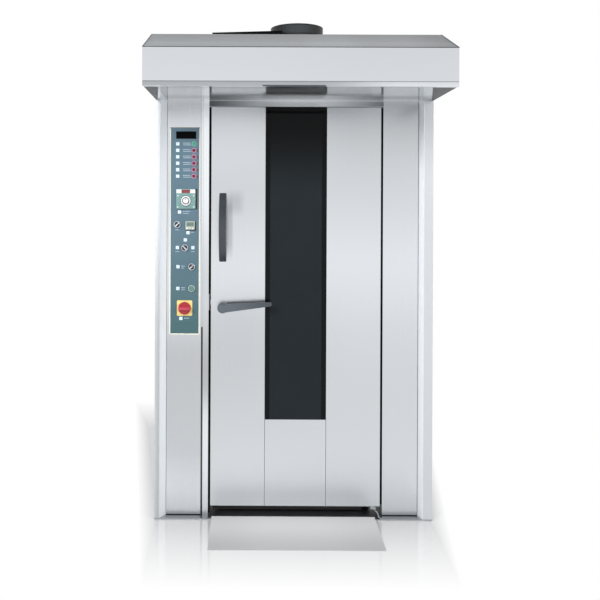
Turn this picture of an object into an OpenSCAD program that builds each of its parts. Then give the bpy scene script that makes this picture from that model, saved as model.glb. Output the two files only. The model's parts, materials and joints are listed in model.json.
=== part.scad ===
// Rotating rack oven: an insulated walk-in baking chamber for one wheeled rack.
// The rack hangs on a turning carrier, hot air is driven through a slotted wall,
// and a deep steam hood stands out over the door.
// X runs to the right, Y to the back and Z up. The origin is on the floor, in the middle.

/* [Cabinet] */
// Width of the cabinet across its corner posts
body_w = 1250; // [1200:5:1350]
// Depth of the cabinet behind the faces of its posts
body_d = 1450; // [1400:10:1600]
// Height of the space over the insulation, where the drives are
drive_h = 224; // [220:2:300]
// Thickness of the outer sheets
sheet = 2; // [1.5:0.25:2.5]
// Thickness of the base plate
base_t = 5; // [4:0.5:8]
// How far the posts stand before the column covers
post_project = 42; // [30:1:55]
// Width of the left post's front face
left_post_face = 21; // [15:1:30]
// Width across the left post's slanted face
left_post_slant = 27; // [15:1:32]
// Width of the right post's front face
right_post_face = 43; // [30:1:50]
// Width across the right post's slanted face
right_post_slant = 15; // [10:1:30]
// Depth of the side leg of a post
post_leg = 60; // [58:1:80]
// Depth of the recess at the back for pipes and cables
rear_recess = 30; // [28:1:40]

/* [Doorway] */
// Width of the control column's cover
control_column_w = 156.7; // [150:0.1:180]
// Width of the cover to the right of the door
right_column_w = 160.7; // [140:0.1:180]
// Height of the door's lower edge above the floor
door_bottom = 50; // [46:1:60]
// Height of the door
door_h = 1812; // [1790:2:1820]
// Thickness of the door from its front face to its liner
door_t = 80; // [76:1:84]
// How far the door stands before the column covers
door_proud = 8; // [4:1:12]
// Gap at each upright edge of the door
door_gap = 11; // [10:0.5:14]
// Gap over the door
door_top_gap = 3; // [2:0.5:5]
// Width of the strip to the left of the door
jamb_w = 26; // [20:1:30]
// Width of the seam between that strip and the control column
jamb_seam = 8; // [4:1:10]
// How far the doorway in the chamber is inside each edge of the door
reveal = 39; // [37:1:45]
// Thickness of the insulated frame round the doorway
portal_t = 40; // [36:1:46]
// Depth of the seal between the door and that frame
seal_depth = 10; // [9:0.5:12]

/* [Door] */
// Thickness of the door's skins
skin_t = 1.5; // [1:0.25:2]
// Depth of the folded edges of the door's skins
hem = 12; // [10:1:16]
// Width of the window
window_w = 279; // [240:1:300]
// Height of the panel under the window
low_panel_h = 393; // [340:1:450]
// Thickness of each pane
pane_t = 6; // [5:0.5:8]
// Width of the channels of the door's frame
stile_w = 34; // [30:1:38]
// Thickness of the metal of the door's frame
frame_t = 2.5; // [2:0.25:3]
// How far the pivot is inside the door's hinge edge
pivot_inset = 30; // [28:1:34]
// How far the pivot is behind the door's front face
pivot_depth = 15; // [14:0.5:17]
// Radius of the pivot pins
pivot_r = 8; // [7:0.5:9]
// Width of the door's rubber seal
seal_w = 14; // [12:1:16]

/* [Pull handle] */
// Length of the pull handle
pull_len = 313; // [260:1:360]
// Width of the pull handle
pull_w = 32; // [24:1:38]
// Thickness of the pull handle's bar
pull_t = 14; // [10:1:18]
// How far the bar stands out from the door at its middle
pull_out = 58; // [50:1:70]
// Distance of the pull handle from the door's free edge
pull_inset = 53; // [45:1:70]
// Height of the pull handle's middle above the floor
pull_z = 1315; // [1250:5:1380]

/* [Latch lever] */
// Distance of the lever's spindle from the door's free edge
lever_inset = 54; // [50:1:62]
// Height of the lever's spindle above the floor
lever_z = 953; // [900:1:1050]
// Length of the lever from its spindle
lever_len = 222; // [180:1:260]
// Width of the lever at its hub
lever_root_w = 38; // [30:1:42]
// Width of the lever at its tip
lever_tip_w = 19; // [14:1:26]
// How far the lever slopes up to its tip at rest, in degrees
lever_slope = 5.4; // [0:0.1:10]
// Radius of the lever's spindle
spindle_r = 7; // [6:0.5:8]
// Radius from the spindle to the pin that draws the bolt
crank_r = 22; // [20:0.5:24]
// How far the bolt stands out from the door's edge
bolt_out = 8; // [6:0.5:9]
// Thickness of the bolt
bolt_t = 10; // [8:1:12]
// Height of the bolt
bolt_h = 21; // [19:0.5:22]

/* [Chamber] */
// Distance from each side of the cabinet to the chamber
side_wool = 145; // [135:1:175]
// Distance from the space behind the air wall to the rear sheet
rear_wool = 73; // [60:1:90]
// Height of the chamber's ceiling over the doorway
ceiling_over = 27; // [17:1:40]
// Height of the chamber's floor above the floor of the room
floor_z = 14; // [12:0.5:18]
// Depth of the space behind the air wall
plenum_d = 300; // [290:5:310]
// Thickness of the chamber's lining
lining = 2; // [1.5:0.25:3]
// Thickness of the insulation over the chamber
roof_wool = 80; // [70:1:90]

/* [Air wall] */
// Length of one air slot
slot_len = 190; // [120:5:240]
// Height of one air slot
slot_h = 10; // [6:1:20]
// Number of air slots in each column
slot_rows = 20; // [8:1:24]
// Distance of the middle of each column of slots from the middle of the wall
slot_x = 300; // [240:5:340]

/* [Rack carrier] */
// Radius of the carrier's shaft
shaft_r = 20; // [16:1:24]
// Length of the carrier's two hanging rails
rail_len = 420; // [360:5:460]
// Distance of each rail from the shaft's axis
rail_x = 150; // [120:5:180]
// Height of each rail
rail_h = 56; // [46:1:70]
// Thickness of the carrier's metal
carrier_t = 5; // [4:0.5:7]

/* [Fan] */
// Radius of the fan wheel
wheel_r = 138; // [120:1:142]
// Height of the fan wheel's blades
blade_h = 90; // [70:1:110]
// Number of blades
blades = 12; // [8:1:16]
// Thickness of one blade
blade_t = 2.5; // [2:0.5:4]
// Radius of the fan's shaft
fan_shaft_r = 11; // [9:0.5:13]

/* [Hood] */
// How far the hood stands out before the posts
hood_over = 430; // [350:5:450]
// Height of the hood's underside over the head of the door
hood_gap = 27; // [21:1:31]
// Height of the hood's upright front
hood_front_h = 155; // [120:1:180]
// Depth of the hood's sloping top
hood_slope_d = 285; // [200:5:330]
// How far the hood's lower rim hangs below its underside
hood_rim = 5; // [3:1:8]
// Width of the folded edge at each side of the hood's underside
hood_return = 50; // [49:1:70]

/* [Flue] */
// Outer radius of the flue duct
flue_r = 127; // [100:1:130]
// Wall of the flue duct
flue_t = 3; // [2:0.5:4]
// How far the duct's middle lies to the right of the cabinet's middle
flue_x = 25; // [0:1:40]
// Distance of the duct's middle behind the faces of the posts
flue_back = 300; // [297:1:320]
// How far the duct stands above the roof
flue_up = 122; // [116:1:160]
// Radius of the damper's spindle
damper_r = 5; // [4:0.5:6]

/* [Controls] */
// Width of the control panel
panel_w = 129; // [120:1:134]
// Height of the control panel
panel_h = 935; // [900:5:1000]
// Distance of the panel's top below the head of the door
panel_drop = 99; // [60:1:120]
// Distance of the panel's right edge from the control column's right edge
panel_inset = 11; // [6:1:14]
// Thickness of the control panel
panel_t = 3; // [2:0.5:4]
// Radius of a selector switch's ring
selector_r = 15.5; // [13:0.5:18]
// Radius of the push button's ring
button_r = 15.5; // [13:0.5:18]
// Radius of the temperature dial
dial_r = 24; // [20:0.5:28]
// Side of the main switch's plate
switch_plate = 70; // [64:1:76]
// Radius of the main switch's handle
switch_r = 29; // [24:0.5:31]
// Radius of every knob's spindle
knob_spindle_r = 3; // [2.5:0.25:4]
// Distance between two pilot lamps
lamp_pitch = 29.4; // [26:0.2:32]
// Radius of a pilot lamp's lens
lamp_r = 6; // [4:0.5:8]

/* [Ramp] */
// How far each side of the ramp is inside the edges of the door
ramp_inset = 17.5; // [16:0.5:40]
// Length of the ramp before the doorway
ramp_len = 312; // [250:2:400]
// Thickness of the ramp's plate
ramp_t = 4; // [3:0.5:5]

/* [Fits] */
// Gap between two pieces that sit against each other
seat = 0.3; // [0.2:0.05:0.4]
// Running clearance of a shaft in its bearing
run = 0.05; // [0.03:0.01:0.08]

/* [Hidden] */
$fn = 64;

// Planes of the cabinet, from front to back
side_x = body_w / 2;
chamber_w = body_w - 2 * side_wool;
back_y = (body_d + hood_over) / 2;
post_y = back_y - body_d;
hood_y = post_y - hood_over;
cover_y = post_y + post_project;
leg_y = post_y + post_leg;
door_y = cover_y - door_proud;
liner_y = door_y + door_t;
portal_y = liner_y + seal_depth;
chamber_y = portal_y + portal_t;
rear_y = back_y - rear_recess;
plenum_y = rear_y - rear_wool;
air_wall_t = 3;
air_y = plenum_y - plenum_d - air_wall_t;
chamber_d = air_y - chamber_y;

// Edges of the door and the doorway
left_cover_x0 = -side_x + left_post_face + left_post_slant + seat;
left_cover_x1 = left_cover_x0 + control_column_w;
jamb_x0 = left_cover_x1 + jamb_seam;
jamb_x1 = jamb_x0 + jamb_w;
door_x0 = jamb_x1 + door_gap;
right_cover_x1 = side_x - right_post_face - right_post_slant - seat;
right_cover_x0 = right_cover_x1 - right_column_w;
door_x1 = right_cover_x0 - door_gap;
door_mid = (door_x0 + door_x1) / 2;
door_top = door_bottom + door_h;
way_x0 = door_x0 + reveal;
way_x1 = door_x1 - reveal;
way_top = door_top - reveal;
pivot_x = door_x1 - pivot_inset;
pivot_y = door_y + pivot_depth;
window_x0 = door_mid - window_w / 2;
window_x1 = door_mid + window_w / 2;
window_z = door_bottom + low_panel_h;
core_y = door_y + hem + seat;
core_back_y = liner_y - skin_t - seat;
mullion_w = 22;

// Levels that follow the door's top
ceiling_z = way_top + ceiling_over;
insulation_z = ceiling_z + roof_wool;
body_h = insulation_z + drive_h;
roof_z = body_h - sheet;
head_z = door_top + door_top_gap;
hood_z = head_z + hood_gap;
cover_top = roof_z - seat;

// Middle of the chamber, where the rack turns, and of the fan
carrier_y = chamber_y + chamber_d / 2;
fan_y = air_y + air_wall_t + plenum_d / 2;
flue_y = post_y + flue_back;

// The bearing and gearbox of the carrier
bearing_top = insulation_z + 8;
gearbox_h = 118;
gearbox_w = 150;
gearbox_d = 190;
shaft_top = bearing_top + gearbox_h - 12;
hub_r = 62;
hub_h = 18;
hub_z = ceiling_z - 78;

// The latch
lever_x = door_x0 + lever_inset;
lock_y = door_y + 16;
bolt_y = lock_y + 14;
bolt_z = lever_z + spindle_r + 2.5 + bolt_h / 2;
guide_t = 4;
cam_t = 6;

// The control panel
panel_x1 = left_cover_x1 - panel_inset;
panel_x0 = panel_x1 - panel_w;
panel_top = head_z - panel_drop;
panel_z = panel_top - panel_h;
row = panel_h / 935;
panel_y = cover_y - panel_t;
lamp_x = panel_x1 - 19;
lamp_z = panel_top - 72 * row;
controller_w = 88;
controller_h = 91;
controller_x = panel_x1 - 60;
controller_z = panel_top - 322 * row;
controller_out = 6;
dial_z = controller_z - 9;
timer_w = 42;
timer_h = 38;
timer_x = panel_x1 - 40;
timer_z = panel_top - 443 * row;
timer_out = 5;
key_w = 10;
key_h = 6;
key_out = 3.5;
key_travel = 1.5;
heat_x = panel_x0 + 30;
heat_z = panel_top - 439 * row;
fan_sel_x = panel_x1 - 64;
fan_sel_z = panel_top - 545 * row;
lamp_sel_x = panel_x1 - 33;
lamp_sel_z = panel_top - 631 * row;
start_x = panel_x1 - 33;
start_z = panel_top - 730 * row;
switch_x = panel_x1 - 64;
switch_z = panel_z + 116 * row;
switch_t = 3;
block_w = 24;
block_h = 34;
block_d = 46;

// Helper shapes

// A block from one corner to the opposite one
module block(low, high) {
    translate(low) cube(high - low);
}

// A flat shape in X and Y, raised from z0 to z1
module raise(z0, z1) {
    translate([0, 0, z0]) linear_extrude(z1 - z0) children();
}

// A flat shape in Y and Z, drawn out from x0 to x1
module across(x0, x1) {
    translate([x0, 0, 0]) rotate([90, 0, 90]) linear_extrude(x1 - x0) children();
}

// A flat shape in X and Z, drawn out from y0 to y1
module along(y0, y1) {
    translate([0, y1, 0]) rotate([90, 0, 0]) linear_extrude(y1 - y0) children();
}

// A round bar along Y, and one along X
module rod_y(x, z, r, y0, y1) {
    translate([x, y1, z]) rotate([90, 0, 0]) cylinder(r = r, h = y1 - y0);
}

module rod_x(y, z, r, x0, x1) {
    translate([x0, y, z]) rotate([0, 90, 0]) cylinder(r = r, h = x1 - x0);
}

module rod_z(x, y, r, z0, z1) {
    translate([x, y, z0]) cylinder(r = r, h = z1 - z0);
}

// A turned piece whose axis runs along Y from the point given, its outline in radius and depth
module turned_y(x, y, z) {
    translate([x, y, z]) rotate([-90, 0, 0]) rotate_extrude() children();
}

// Bend line of a folded sheet at one point, set in by the sheet's thickness
function unit(v) = v / norm(v);
function side_of(v) = [-v[1], v[0]];
function bend(path, i, t) =
    let (last = len(path) - 1,
         before = side_of(unit(path[max(i, 1)] - path[max(i, 1) - 1])),
         after = side_of(unit(path[min(i, last - 1) + 1] - path[min(i, last - 1)])))
    path[i] + t * (before + after) / (1 + before * after);

// Section of a folded sheet: its outer line, then the inner one to the left of it
module folded(path, t) {
    polygon(concat(path, [for (i = [len(path) - 1 : -1 : 0]) bend(path, i, t)]));
}

// A tray that faces the front: a sheet with its four edges folded back
module front_tray(x0, x1, z0, z1, y, depth, t) {
    difference() {
        block([x0, y, z0], [x1, y + depth, z1]);
        block([x0 + t, y + t, z0 + t], [x1 - t, y + depth + 1, z1 - t]);
    }
}

// A rectangle with round corners, in two dimensions
module round_rect(w, h, r) {
    for (x = [-1, 1], y = [-1, 1])
        translate([x * (w / 2 - r), y * (h / 2 - r)]) circle(r);
    square([w - 2 * r, h], center = true);
    square([w, h - 2 * r], center = true);
}

// The outer cabinet

module base_frame() {
    bay_w = body_w / 3 - 90;
    bay_d = body_d / 3 - 110;
    color("darkgray") difference() {
        block([-side_x, post_y, 0], [side_x, back_y, base_t]);
        for (i = [-1 : 1], j = [0 : 2])
            block([i * (bay_w + 60) - bay_w / 2, post_y + 170 + j * (bay_d + 60), -1],
                  [i * (bay_w + 60) + bay_w / 2, post_y + 170 + j * (bay_d + 60) + bay_d, base_t + 1]);
    }
}

module chamber_floor() {
    color("lightgray") {
        block([-chamber_w / 2 + seat, chamber_y + seat, base_t],
              [chamber_w / 2 - seat, plenum_y - seat, floor_z]);
        block([way_x0 + lining + seat, post_y + 5, base_t],
              [way_x1 - lining - seat, chamber_y + seat, floor_z]);
    }
}

// A side sheet with its back and top edges folded in
module side_panel() {
    block([side_x - sheet, leg_y + seat, base_t], [side_x, back_y, roof_z]);
    block([side_x - 30, back_y - sheet, base_t], [side_x, back_y, roof_z]);
    block([side_x - 30, leg_y + seat, roof_z - sheet], [side_x, back_y, roof_z]);
}

module left_side_panel() {
    color("gainsboro") mirror([1, 0, 0]) side_panel();
}

module right_side_panel() {
    color("gainsboro") side_panel();
}

// Rear sheet with two rows of pressed louvres, the pipe stubs and the cable gland
louvre_w = 320;
louvre_pitch = 26;
louvre_n = 5;
louvre_d = 10;
inlet_r = 10.5;
drain_r = 20;
gland_r = 16;
stub_len = 24;
inlet_x = 400;
inlet_z = 320;
drain_x = 400;
drain_z = 120;
gland_x = -420;
gland_drop = 174;
gland_z = body_h - gland_drop;
module rear_panel() {
    color("gainsboro") difference() {
        union() {
            block([-side_x + sheet + seat, rear_y - sheet, base_t],
                  [side_x - sheet - seat, rear_y, roof_z - sheet - seat]);
            for (side = [-1, 1], i = [0 : louvre_n - 1])
                louvre(side * 190, body_h - 170 + (i - louvre_n) * louvre_pitch + 60);
            rod_y(inlet_x, inlet_z, inlet_r, rear_y - 30, rear_y + stub_len);
            rod_y(drain_x, drain_z, drain_r, rear_y - 30, rear_y + stub_len);
            rod_y(gland_x, gland_z, gland_r + 8, rear_y - 6, rear_y + 5);
            rod_y(gland_x, gland_z, gland_r + 4, rear_y - 6, rear_y + stub_len - 4);
        }
        for (side = [-1, 1], i = [0 : louvre_n - 1])
            louvre_mouth(side * 190, body_h - 170 + (i - louvre_n) * louvre_pitch + 60);
        rod_y(inlet_x, inlet_z, inlet_r - 2.5, rear_y - 31, rear_y + stub_len + 1);
        rod_y(drain_x, drain_z, drain_r - 3, rear_y - 31, rear_y + stub_len + 1);
        rod_y(gland_x, gland_z, gland_r, rear_y - 7, rear_y + stub_len + 1);
    }
}

module louvre(x, z) {
    across(x - louvre_w / 2, x + louvre_w / 2)
        polygon([[rear_y - 1, z], [rear_y + louvre_d, z], [rear_y + louvre_d, z + 3], [rear_y - 1, z + 18]]);
}

module louvre_mouth(x, z) {
    across(x - louvre_w / 2 + 2, x + louvre_w / 2 - 2)
        polygon([[rear_y - sheet - 1, z - 1], [rear_y + louvre_d - 2, z - 1],
                 [rear_y + louvre_d - 2, z + 2], [rear_y - sheet - 1, z + 15]]);
}

// Roof sheet, cut for the duct
module roof_panel() {
    color("silver") difference() {
        block([-side_x, leg_y + seat, roof_z], [side_x, back_y, body_h]);
        rod_z(flue_x, flue_y, flue_r + seat, roof_z - 1, body_h + 1);
    }
}

// A corner post of folded sheet: a side leg, the front face, a slanted face and a return
module corner_post(face, slant) {
    return_d = 16;
    raise(base_t, hood_z)
        folded([[-side_x, leg_y], [-side_x, post_y], [-side_x + face, post_y],
                [-side_x + face + slant, cover_y], [-side_x + face + slant, cover_y + return_d]], sheet);
}

module left_corner_post() {
    color("lightgray") corner_post(left_post_face, left_post_slant);
}

module right_corner_post() {
    color("lightgray") mirror([1, 0, 0]) corner_post(right_post_face, right_post_slant);
}

// Covers of the two columns beside the door
module column_cover(x0, x1) {
    fold_d = 15;
    front_tray(x0, x1, base_t, cover_top, cover_y, fold_d, sheet);
}

module control_column_cover() {
    margin = 12;
    color("gainsboro") difference() {
        column_cover(left_cover_x0, left_cover_x1);
        block([panel_x0 + margin, cover_y - 1, panel_z + margin],
              [panel_x1 - margin, cover_y + sheet + 1, panel_top - margin]);
    }
}

module right_column_cover() {
    color("gainsboro") column_cover(right_cover_x0, right_cover_x1);
}

// Strip to the left of the door, header over it and return to the right of it
module door_surround() {
    side_return = right_cover_x0 + sheet + seat;
    color("lightgray") difference() {
        union() {
            raise(base_t, cover_top)
                folded([[jamb_x0, cover_y + 28], [jamb_x0, cover_y], [jamb_x1, cover_y],
                        [jamb_x1, portal_y - seat]], sheet);
            block([jamb_x1 - sheet, cover_y, head_z], [right_cover_x0 - seat, cover_y + sheet, cover_top]);
            block([jamb_x1 - sheet, cover_y, head_z],
                  [right_cover_x0 - seat, portal_y - seat, head_z + sheet]);
            block([side_return, cover_y + 15 + seat, base_t],
                  [side_return + sheet, portal_y - seat, cover_top]);
            block([right_cover_x0 - sheet, cover_y + 15 + seat, head_z],
                  [side_return + sheet, portal_y - seat, head_z + sheet]);
        }
        rod_z(pivot_x, pivot_y, pivot_r + 1, head_z - 1, head_z + sheet + 1);
    }
}

// Insulated frame round the doorway: front and back sheets and a sleeve between them
portal_x = side_x - 60;
portal_top = insulation_z;
module portal_frame() {
    color("silver") difference() {
        block([-portal_x, portal_y, base_t], [portal_x, chamber_y, portal_top]);
        block([-portal_x - 1, portal_y + lining, base_t - 1],
              [way_x0 - lining, chamber_y - lining, portal_top + 1]);
        block([way_x1 + lining, portal_y + lining, base_t - 1],
              [portal_x + 1, chamber_y - lining, portal_top + 1]);
        block([way_x0 - lining - 1, portal_y + lining, way_top + lining],
              [way_x1 + lining + 1, chamber_y - lining, portal_top + 1]);
        block([way_x0, portal_y - 1, base_t - 1], [way_x1, chamber_y + 1, way_top]);
    }
}

// The chamber

bumper_h = 26;
bumper_out = 12;
bumper_zs = [260, 900];
module chamber_side_wall() {
    block([chamber_w / 2, chamber_y, base_t], [chamber_w / 2 + lining, plenum_y + lining, ceiling_z + lining]);
    for (z = bumper_zs)
        across_bumper(z);
}

// A hollow-faced rail that keeps the rack off the wall
module across_bumper(z) {
    along(chamber_y + 60, air_y - 40)
        polygon([[chamber_w / 2 + 1, z - bumper_h / 2 - 6], [chamber_w / 2 - bumper_out, z - bumper_h / 2],
                 [chamber_w / 2 - bumper_out, z + bumper_h / 2], [chamber_w / 2 + 1, z + bumper_h / 2 + 6]]);
}

module chamber_left_wall() {
    color("lightsteelblue") mirror([1, 0, 0]) chamber_side_wall();
}

module chamber_right_wall() {
    color("lightsteelblue") chamber_side_wall();
}

module chamber_back_wall() {
    color("lightsteelblue")
        block([-chamber_w / 2 + seat, plenum_y, base_t], [chamber_w / 2 - seat, plenum_y + lining, ceiling_z]);
}

// Ceiling tray, cut for the duct, the carrier's shaft and the fan's shaft
module chamber_ceiling() {
    tray_up = 25;
    color("lightsteelblue") difference() {
        block([-chamber_w / 2 + seat, chamber_y + seat, ceiling_z],
              [chamber_w / 2 - seat, plenum_y + lining, ceiling_z + tray_up]);
        block([-chamber_w / 2 + seat + lining, chamber_y + seat + lining, ceiling_z + lining],
              [chamber_w / 2 - seat - lining, plenum_y, ceiling_z + tray_up + 1]);
        rod_z(flue_x, flue_y, flue_r - flue_t, ceiling_z - 1, ceiling_z + lining + 1);
        rod_z(0, carrier_y, shaft_r + 4, ceiling_z - 1, ceiling_z + lining + 1);
        rod_z(0, fan_y, fan_shaft_r + 4, ceiling_z - 1, ceiling_z + lining + 1);
    }
}

// Wall with two columns of air slots, each under a pressed lip, and the fan's inlet
slot_z0 = 200;
inlet_ring_r = 96;
module air_wall() {
    pitch = (ceiling_z - 420 - slot_z0) / (slot_rows - 1);
    lip = 9;
    color("lightgray") difference() {
        union() {
            block([-chamber_w / 2 + seat, air_y, floor_z], [chamber_w / 2 - seat, air_y + air_wall_t, ceiling_z - seat]);
            for (side = [-1, 1], i = [0 : slot_rows - 1])
                across(side * slot_x - slot_len / 2, side * slot_x + slot_len / 2)
                    polygon([[air_y + 1, slot_z0 + i * pitch + slot_h / 2], [air_y - lip, slot_z0 + i * pitch],
                             [air_y - lip, slot_z0 + i * pitch + 2],
                             [air_y + 1, slot_z0 + i * pitch + slot_h / 2 + 4]]);
            for (side = [-1, 1])
                block([side * (chamber_w / 2 - 12 - seat) - 12, air_y, floor_z],
                      [side * (chamber_w / 2 - 12 - seat) + 12, air_y + 14, ceiling_z - seat]);
        }
        for (side = [-1, 1], i = [0 : slot_rows - 1])
            block([side * slot_x - slot_len / 2 + 3, air_y - 1, slot_z0 + i * pitch - slot_h / 2],
                  [side * slot_x + slot_len / 2 - 3, air_y + air_wall_t + 1, slot_z0 + i * pitch + slot_h / 2]);
        for (i = [-2 : 2], j = [0 : 3])
            block([i * 70 - 28, air_y - 1, ceiling_z - 190 + j * 42], [i * 70 + 28, air_y + air_wall_t + 1, ceiling_z - 176 + j * 42]);
    }
}

// Slabs of mineral wool between the chamber and the cabinet
module insulation() {
    outer_x = side_x - sheet - seat;
    inner_x = chamber_w / 2 + lining + seat;
    color("khaki") {
        for (side = [-1, 1]) {
            block([side * (outer_x + inner_x) / 2 - (outer_x - inner_x) / 2, chamber_y + seat, base_t + seat],
                  [side * (outer_x + inner_x) / 2 + (outer_x - inner_x) / 2, rear_y - sheet - 32, insulation_z]);
        }
        block([-inner_x + 2 * seat, plenum_y + lining + seat, base_t + seat],
              [inner_x - 2 * seat, rear_y - sheet - 32, insulation_z]);
        block([-portal_x, portal_y + lining + seat, base_t + seat],
              [way_x0 - lining - seat, chamber_y - lining - seat, insulation_z - seat]);
        block([way_x1 + lining + seat, portal_y + lining + seat, base_t + seat],
              [portal_x, chamber_y - lining - seat, insulation_z - seat]);
        block([way_x0 - lining, portal_y + lining + seat, way_top + lining + seat],
              [way_x1 + lining, chamber_y - lining - seat, insulation_z - seat]);
        difference() {
            block([-chamber_w / 2 + lining + 2 * seat, chamber_y + lining + 2 * seat, ceiling_z + lining + seat],
                  [chamber_w / 2 - lining - 2 * seat, plenum_y - seat, insulation_z]);
            rod_z(flue_x, flue_y, flue_r + seat, ceiling_z, insulation_z + 1);
            rod_z(0, carrier_y, pedestal_r + seat, ceiling_z, insulation_z + 1);
            rod_z(0, carrier_y, pedestal_flange_r + seat, ceiling_z, ceiling_z + lining + 9);
            rod_z(0, fan_y, motor_foot_r + seat, ceiling_z, insulation_z + 1);
        }
    }
}

// The hood and the flue

module hood_shell() {
    hood_top_y = hood_y + hood_slope_d;
    hood_front_z = hood_z + hood_front_h - hood_rim;
    rim_z = hood_z - hood_rim;
    groove_z = hood_z + 10;
    color("gainsboro") difference() {
        union() {
            across(-side_x, side_x)
                folded([[leg_y, body_h], [hood_top_y, body_h], [hood_y, hood_front_z],
                        [hood_y, rim_z], [hood_y + 16, rim_z]], sheet);
            for (x = [-side_x, side_x - sheet])
                across(x, x + sheet)
                    polygon([[leg_y, hood_z], [leg_y, body_h], [hood_top_y, body_h], [hood_y, hood_front_z],
                             [hood_y, rim_z], [hood_y + 16, rim_z], [hood_y + 16, hood_z]]);
            block([-side_x, hood_y + sheet, hood_z], [-side_x + hood_return, leg_y, hood_z + sheet]);
            block([side_x - hood_return, hood_y + sheet, hood_z], [side_x, leg_y, hood_z + sheet]);
        }
        block([-side_x - 1, hood_y - 1, groove_z], [side_x + 1, hood_y + 0.8, groove_z + 2]);
        block([-side_x + hood_return - 2, cover_y - seat, hood_z - 1],
              [side_x - hood_return + 2, leg_y + 1, hood_z + sheet + 1]);
        block([left_cover_x0 - sheet - seat, cover_y - seat, hood_z - 1],
              [right_cover_x1 + sheet + seat, leg_y + 1, hood_z + sheet + 1]);
    }
}

// Polished sheet under the hood, resting on the hood's folded front rim
module hood_underside() {
    x = side_x - hood_return - seat;
    color("whitesmoke") {
        block([-x, hood_y + sheet + seat, hood_z], [x, cover_y - seat, hood_z + sheet]);
        block([-x, hood_y + sheet + seat, hood_z - hood_rim + sheet],
              [x, hood_y + 2 * sheet + seat, hood_z + sheet]);
    }
}

// Duct from the chamber's ceiling up through the roof, with a collar, a thick throat for
// the damper and a bead that stops the pipe pushed over its upper end
damper_z = body_h + 20;
throat_r = flue_r - 27;
module flue_duct() {
    bead_z = body_h + flue_up - 44;
    color("dimgray") difference() {
        union() {
            rod_z(flue_x, flue_y, flue_r, ceiling_z + lining, body_h + flue_up);
            rod_z(flue_x, flue_y, flue_r + 9, body_h, body_h + 3);
            translate([flue_x, flue_y, bead_z])
                rotate_extrude() translate([flue_r - 1, 0]) circle(4, $fn = 24);
            rod_x(flue_y, damper_z, damper_r + 5, flue_x - flue_r - 3, flue_x - flue_r + flue_t);
            rod_x(flue_y, damper_z, damper_r + 5, flue_x + flue_r - flue_t, flue_x + flue_r + 3);
        }
        rod_z(flue_x, flue_y, flue_r - flue_t, ceiling_z, damper_z - 10);
        rod_z(flue_x, flue_y, flue_r - flue_t, damper_z + 10, body_h + flue_up + 1);
        rod_z(flue_x, flue_y, throat_r, damper_z - 11, damper_z + 11);
        rod_x(flue_y, damper_z, damper_r + run, flue_x - flue_r - 10, flue_x + flue_r + 10);
    }
}

// Butterfly plate on its spindle, with the crank that turns it
module flue_damper() {
    color("darkgray") {
        rod_z(flue_x, flue_y, throat_r - 2, damper_z - 1.5, damper_z + 1.5);
        rod_x(flue_y, damper_z, damper_r, flue_x - flue_r - 50, flue_x + flue_r + 8);
        rod_x(flue_y, damper_z, damper_r + 6, flue_x - flue_r - 48, flue_x - flue_r - 38);
        along(flue_y - damper_r, flue_y + damper_r)
            polygon([[flue_x - flue_r - 46, damper_z], [flue_x - flue_r - 40, damper_z],
                     [flue_x - flue_r - 40, damper_z + 34], [flue_x - flue_r - 46, damper_z + 34]]);
    }
}

// Low housing beside the duct over the damper's crank, with a sloping lid
cover_len = 356;
cover_d = 190;
cover_front_z = 78;
module damper_cover() {
    x1 = flue_x - 75;
    x0 = x1 - cover_len + 25;
    y0 = flue_y - cover_d / 2 - 35;
    y1 = flue_y + cover_d / 2;
    lid_drop = 10;
    color("darkslategray") difference() {
        along(y0, y1)
            polygon([[x0, body_h], [x1, body_h], [x1, body_h + cover_front_z + 8], [x0, body_h + cover_front_z - lid_drop + 8]]);
        along(y0 + sheet, y1 - sheet)
            polygon([[x0 + sheet, body_h - 1], [x1 - sheet, body_h - 1],
                     [x1 - sheet, body_h + cover_front_z + 8 - sheet],
                     [x0 + sheet, body_h + cover_front_z - lid_drop + 8 - sheet]]);
        rod_z(flue_x, flue_y, flue_r + 9 + seat, body_h - 1, body_h + cover_front_z + 20);
    }
}

// The control column

// Contact block behind the panel for a switch at one place
module contact_block(x, z) {
    block([x - block_w / 2, cover_y - 0.5, z - block_h / 2], [x + block_w / 2, cover_y + block_d, z + block_h / 2]);
}

spindle_depth = 14;
module control_panel() {
    name_w = 90;
    name_h = 32;
    color("cadetblue") difference() {
        union() {
            block([panel_x0, panel_y, panel_z], [panel_x1, cover_y - 0.05, panel_top]);
            block([panel_x0 + 14, cover_y - 1, panel_z + 14], [panel_x1 - 14, cover_y + sheet + 4, panel_top - 14]);
            contact_block(heat_x, heat_z);
            contact_block(fan_sel_x, fan_sel_z);
            contact_block(lamp_sel_x, lamp_sel_z);
            contact_block(start_x, start_z);
            contact_block(switch_x, switch_z);
            block([panel_x0 + 28, panel_y - 1.2, panel_top - 48], [panel_x0 + 28 + name_w, panel_y + 1, panel_top - 48 + name_h]);
        }
        for (p = [[heat_x, heat_z], [fan_sel_x, fan_sel_z], [lamp_sel_x, lamp_sel_z], [start_x, start_z],
                  [switch_x, switch_z]])
            rod_y(p[0], p[1], knob_spindle_r + run, panel_y - 1, panel_y + spindle_depth + 1);
        for (i = [0 : 5])
            rod_y(lamp_x, lamp_z - i * lamp_pitch, lamp_r - 1 + seat, panel_y - 1, cover_y + sheet + 5);
        block([controller_x - controller_w / 2 + 6, panel_y - 1, controller_z - controller_h / 2 + 6],
              [controller_x + controller_w / 2 - 6, cover_y + sheet + 5, controller_z + controller_h / 2 - 6]);
        block([timer_x - timer_w / 2 + 3, panel_y - 1, timer_z - timer_h / 2 + 3],
              [timer_x + timer_w / 2 - 3, cover_y + sheet + 5, timer_z + timer_h / 2 - 3]);
    }
}

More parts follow.
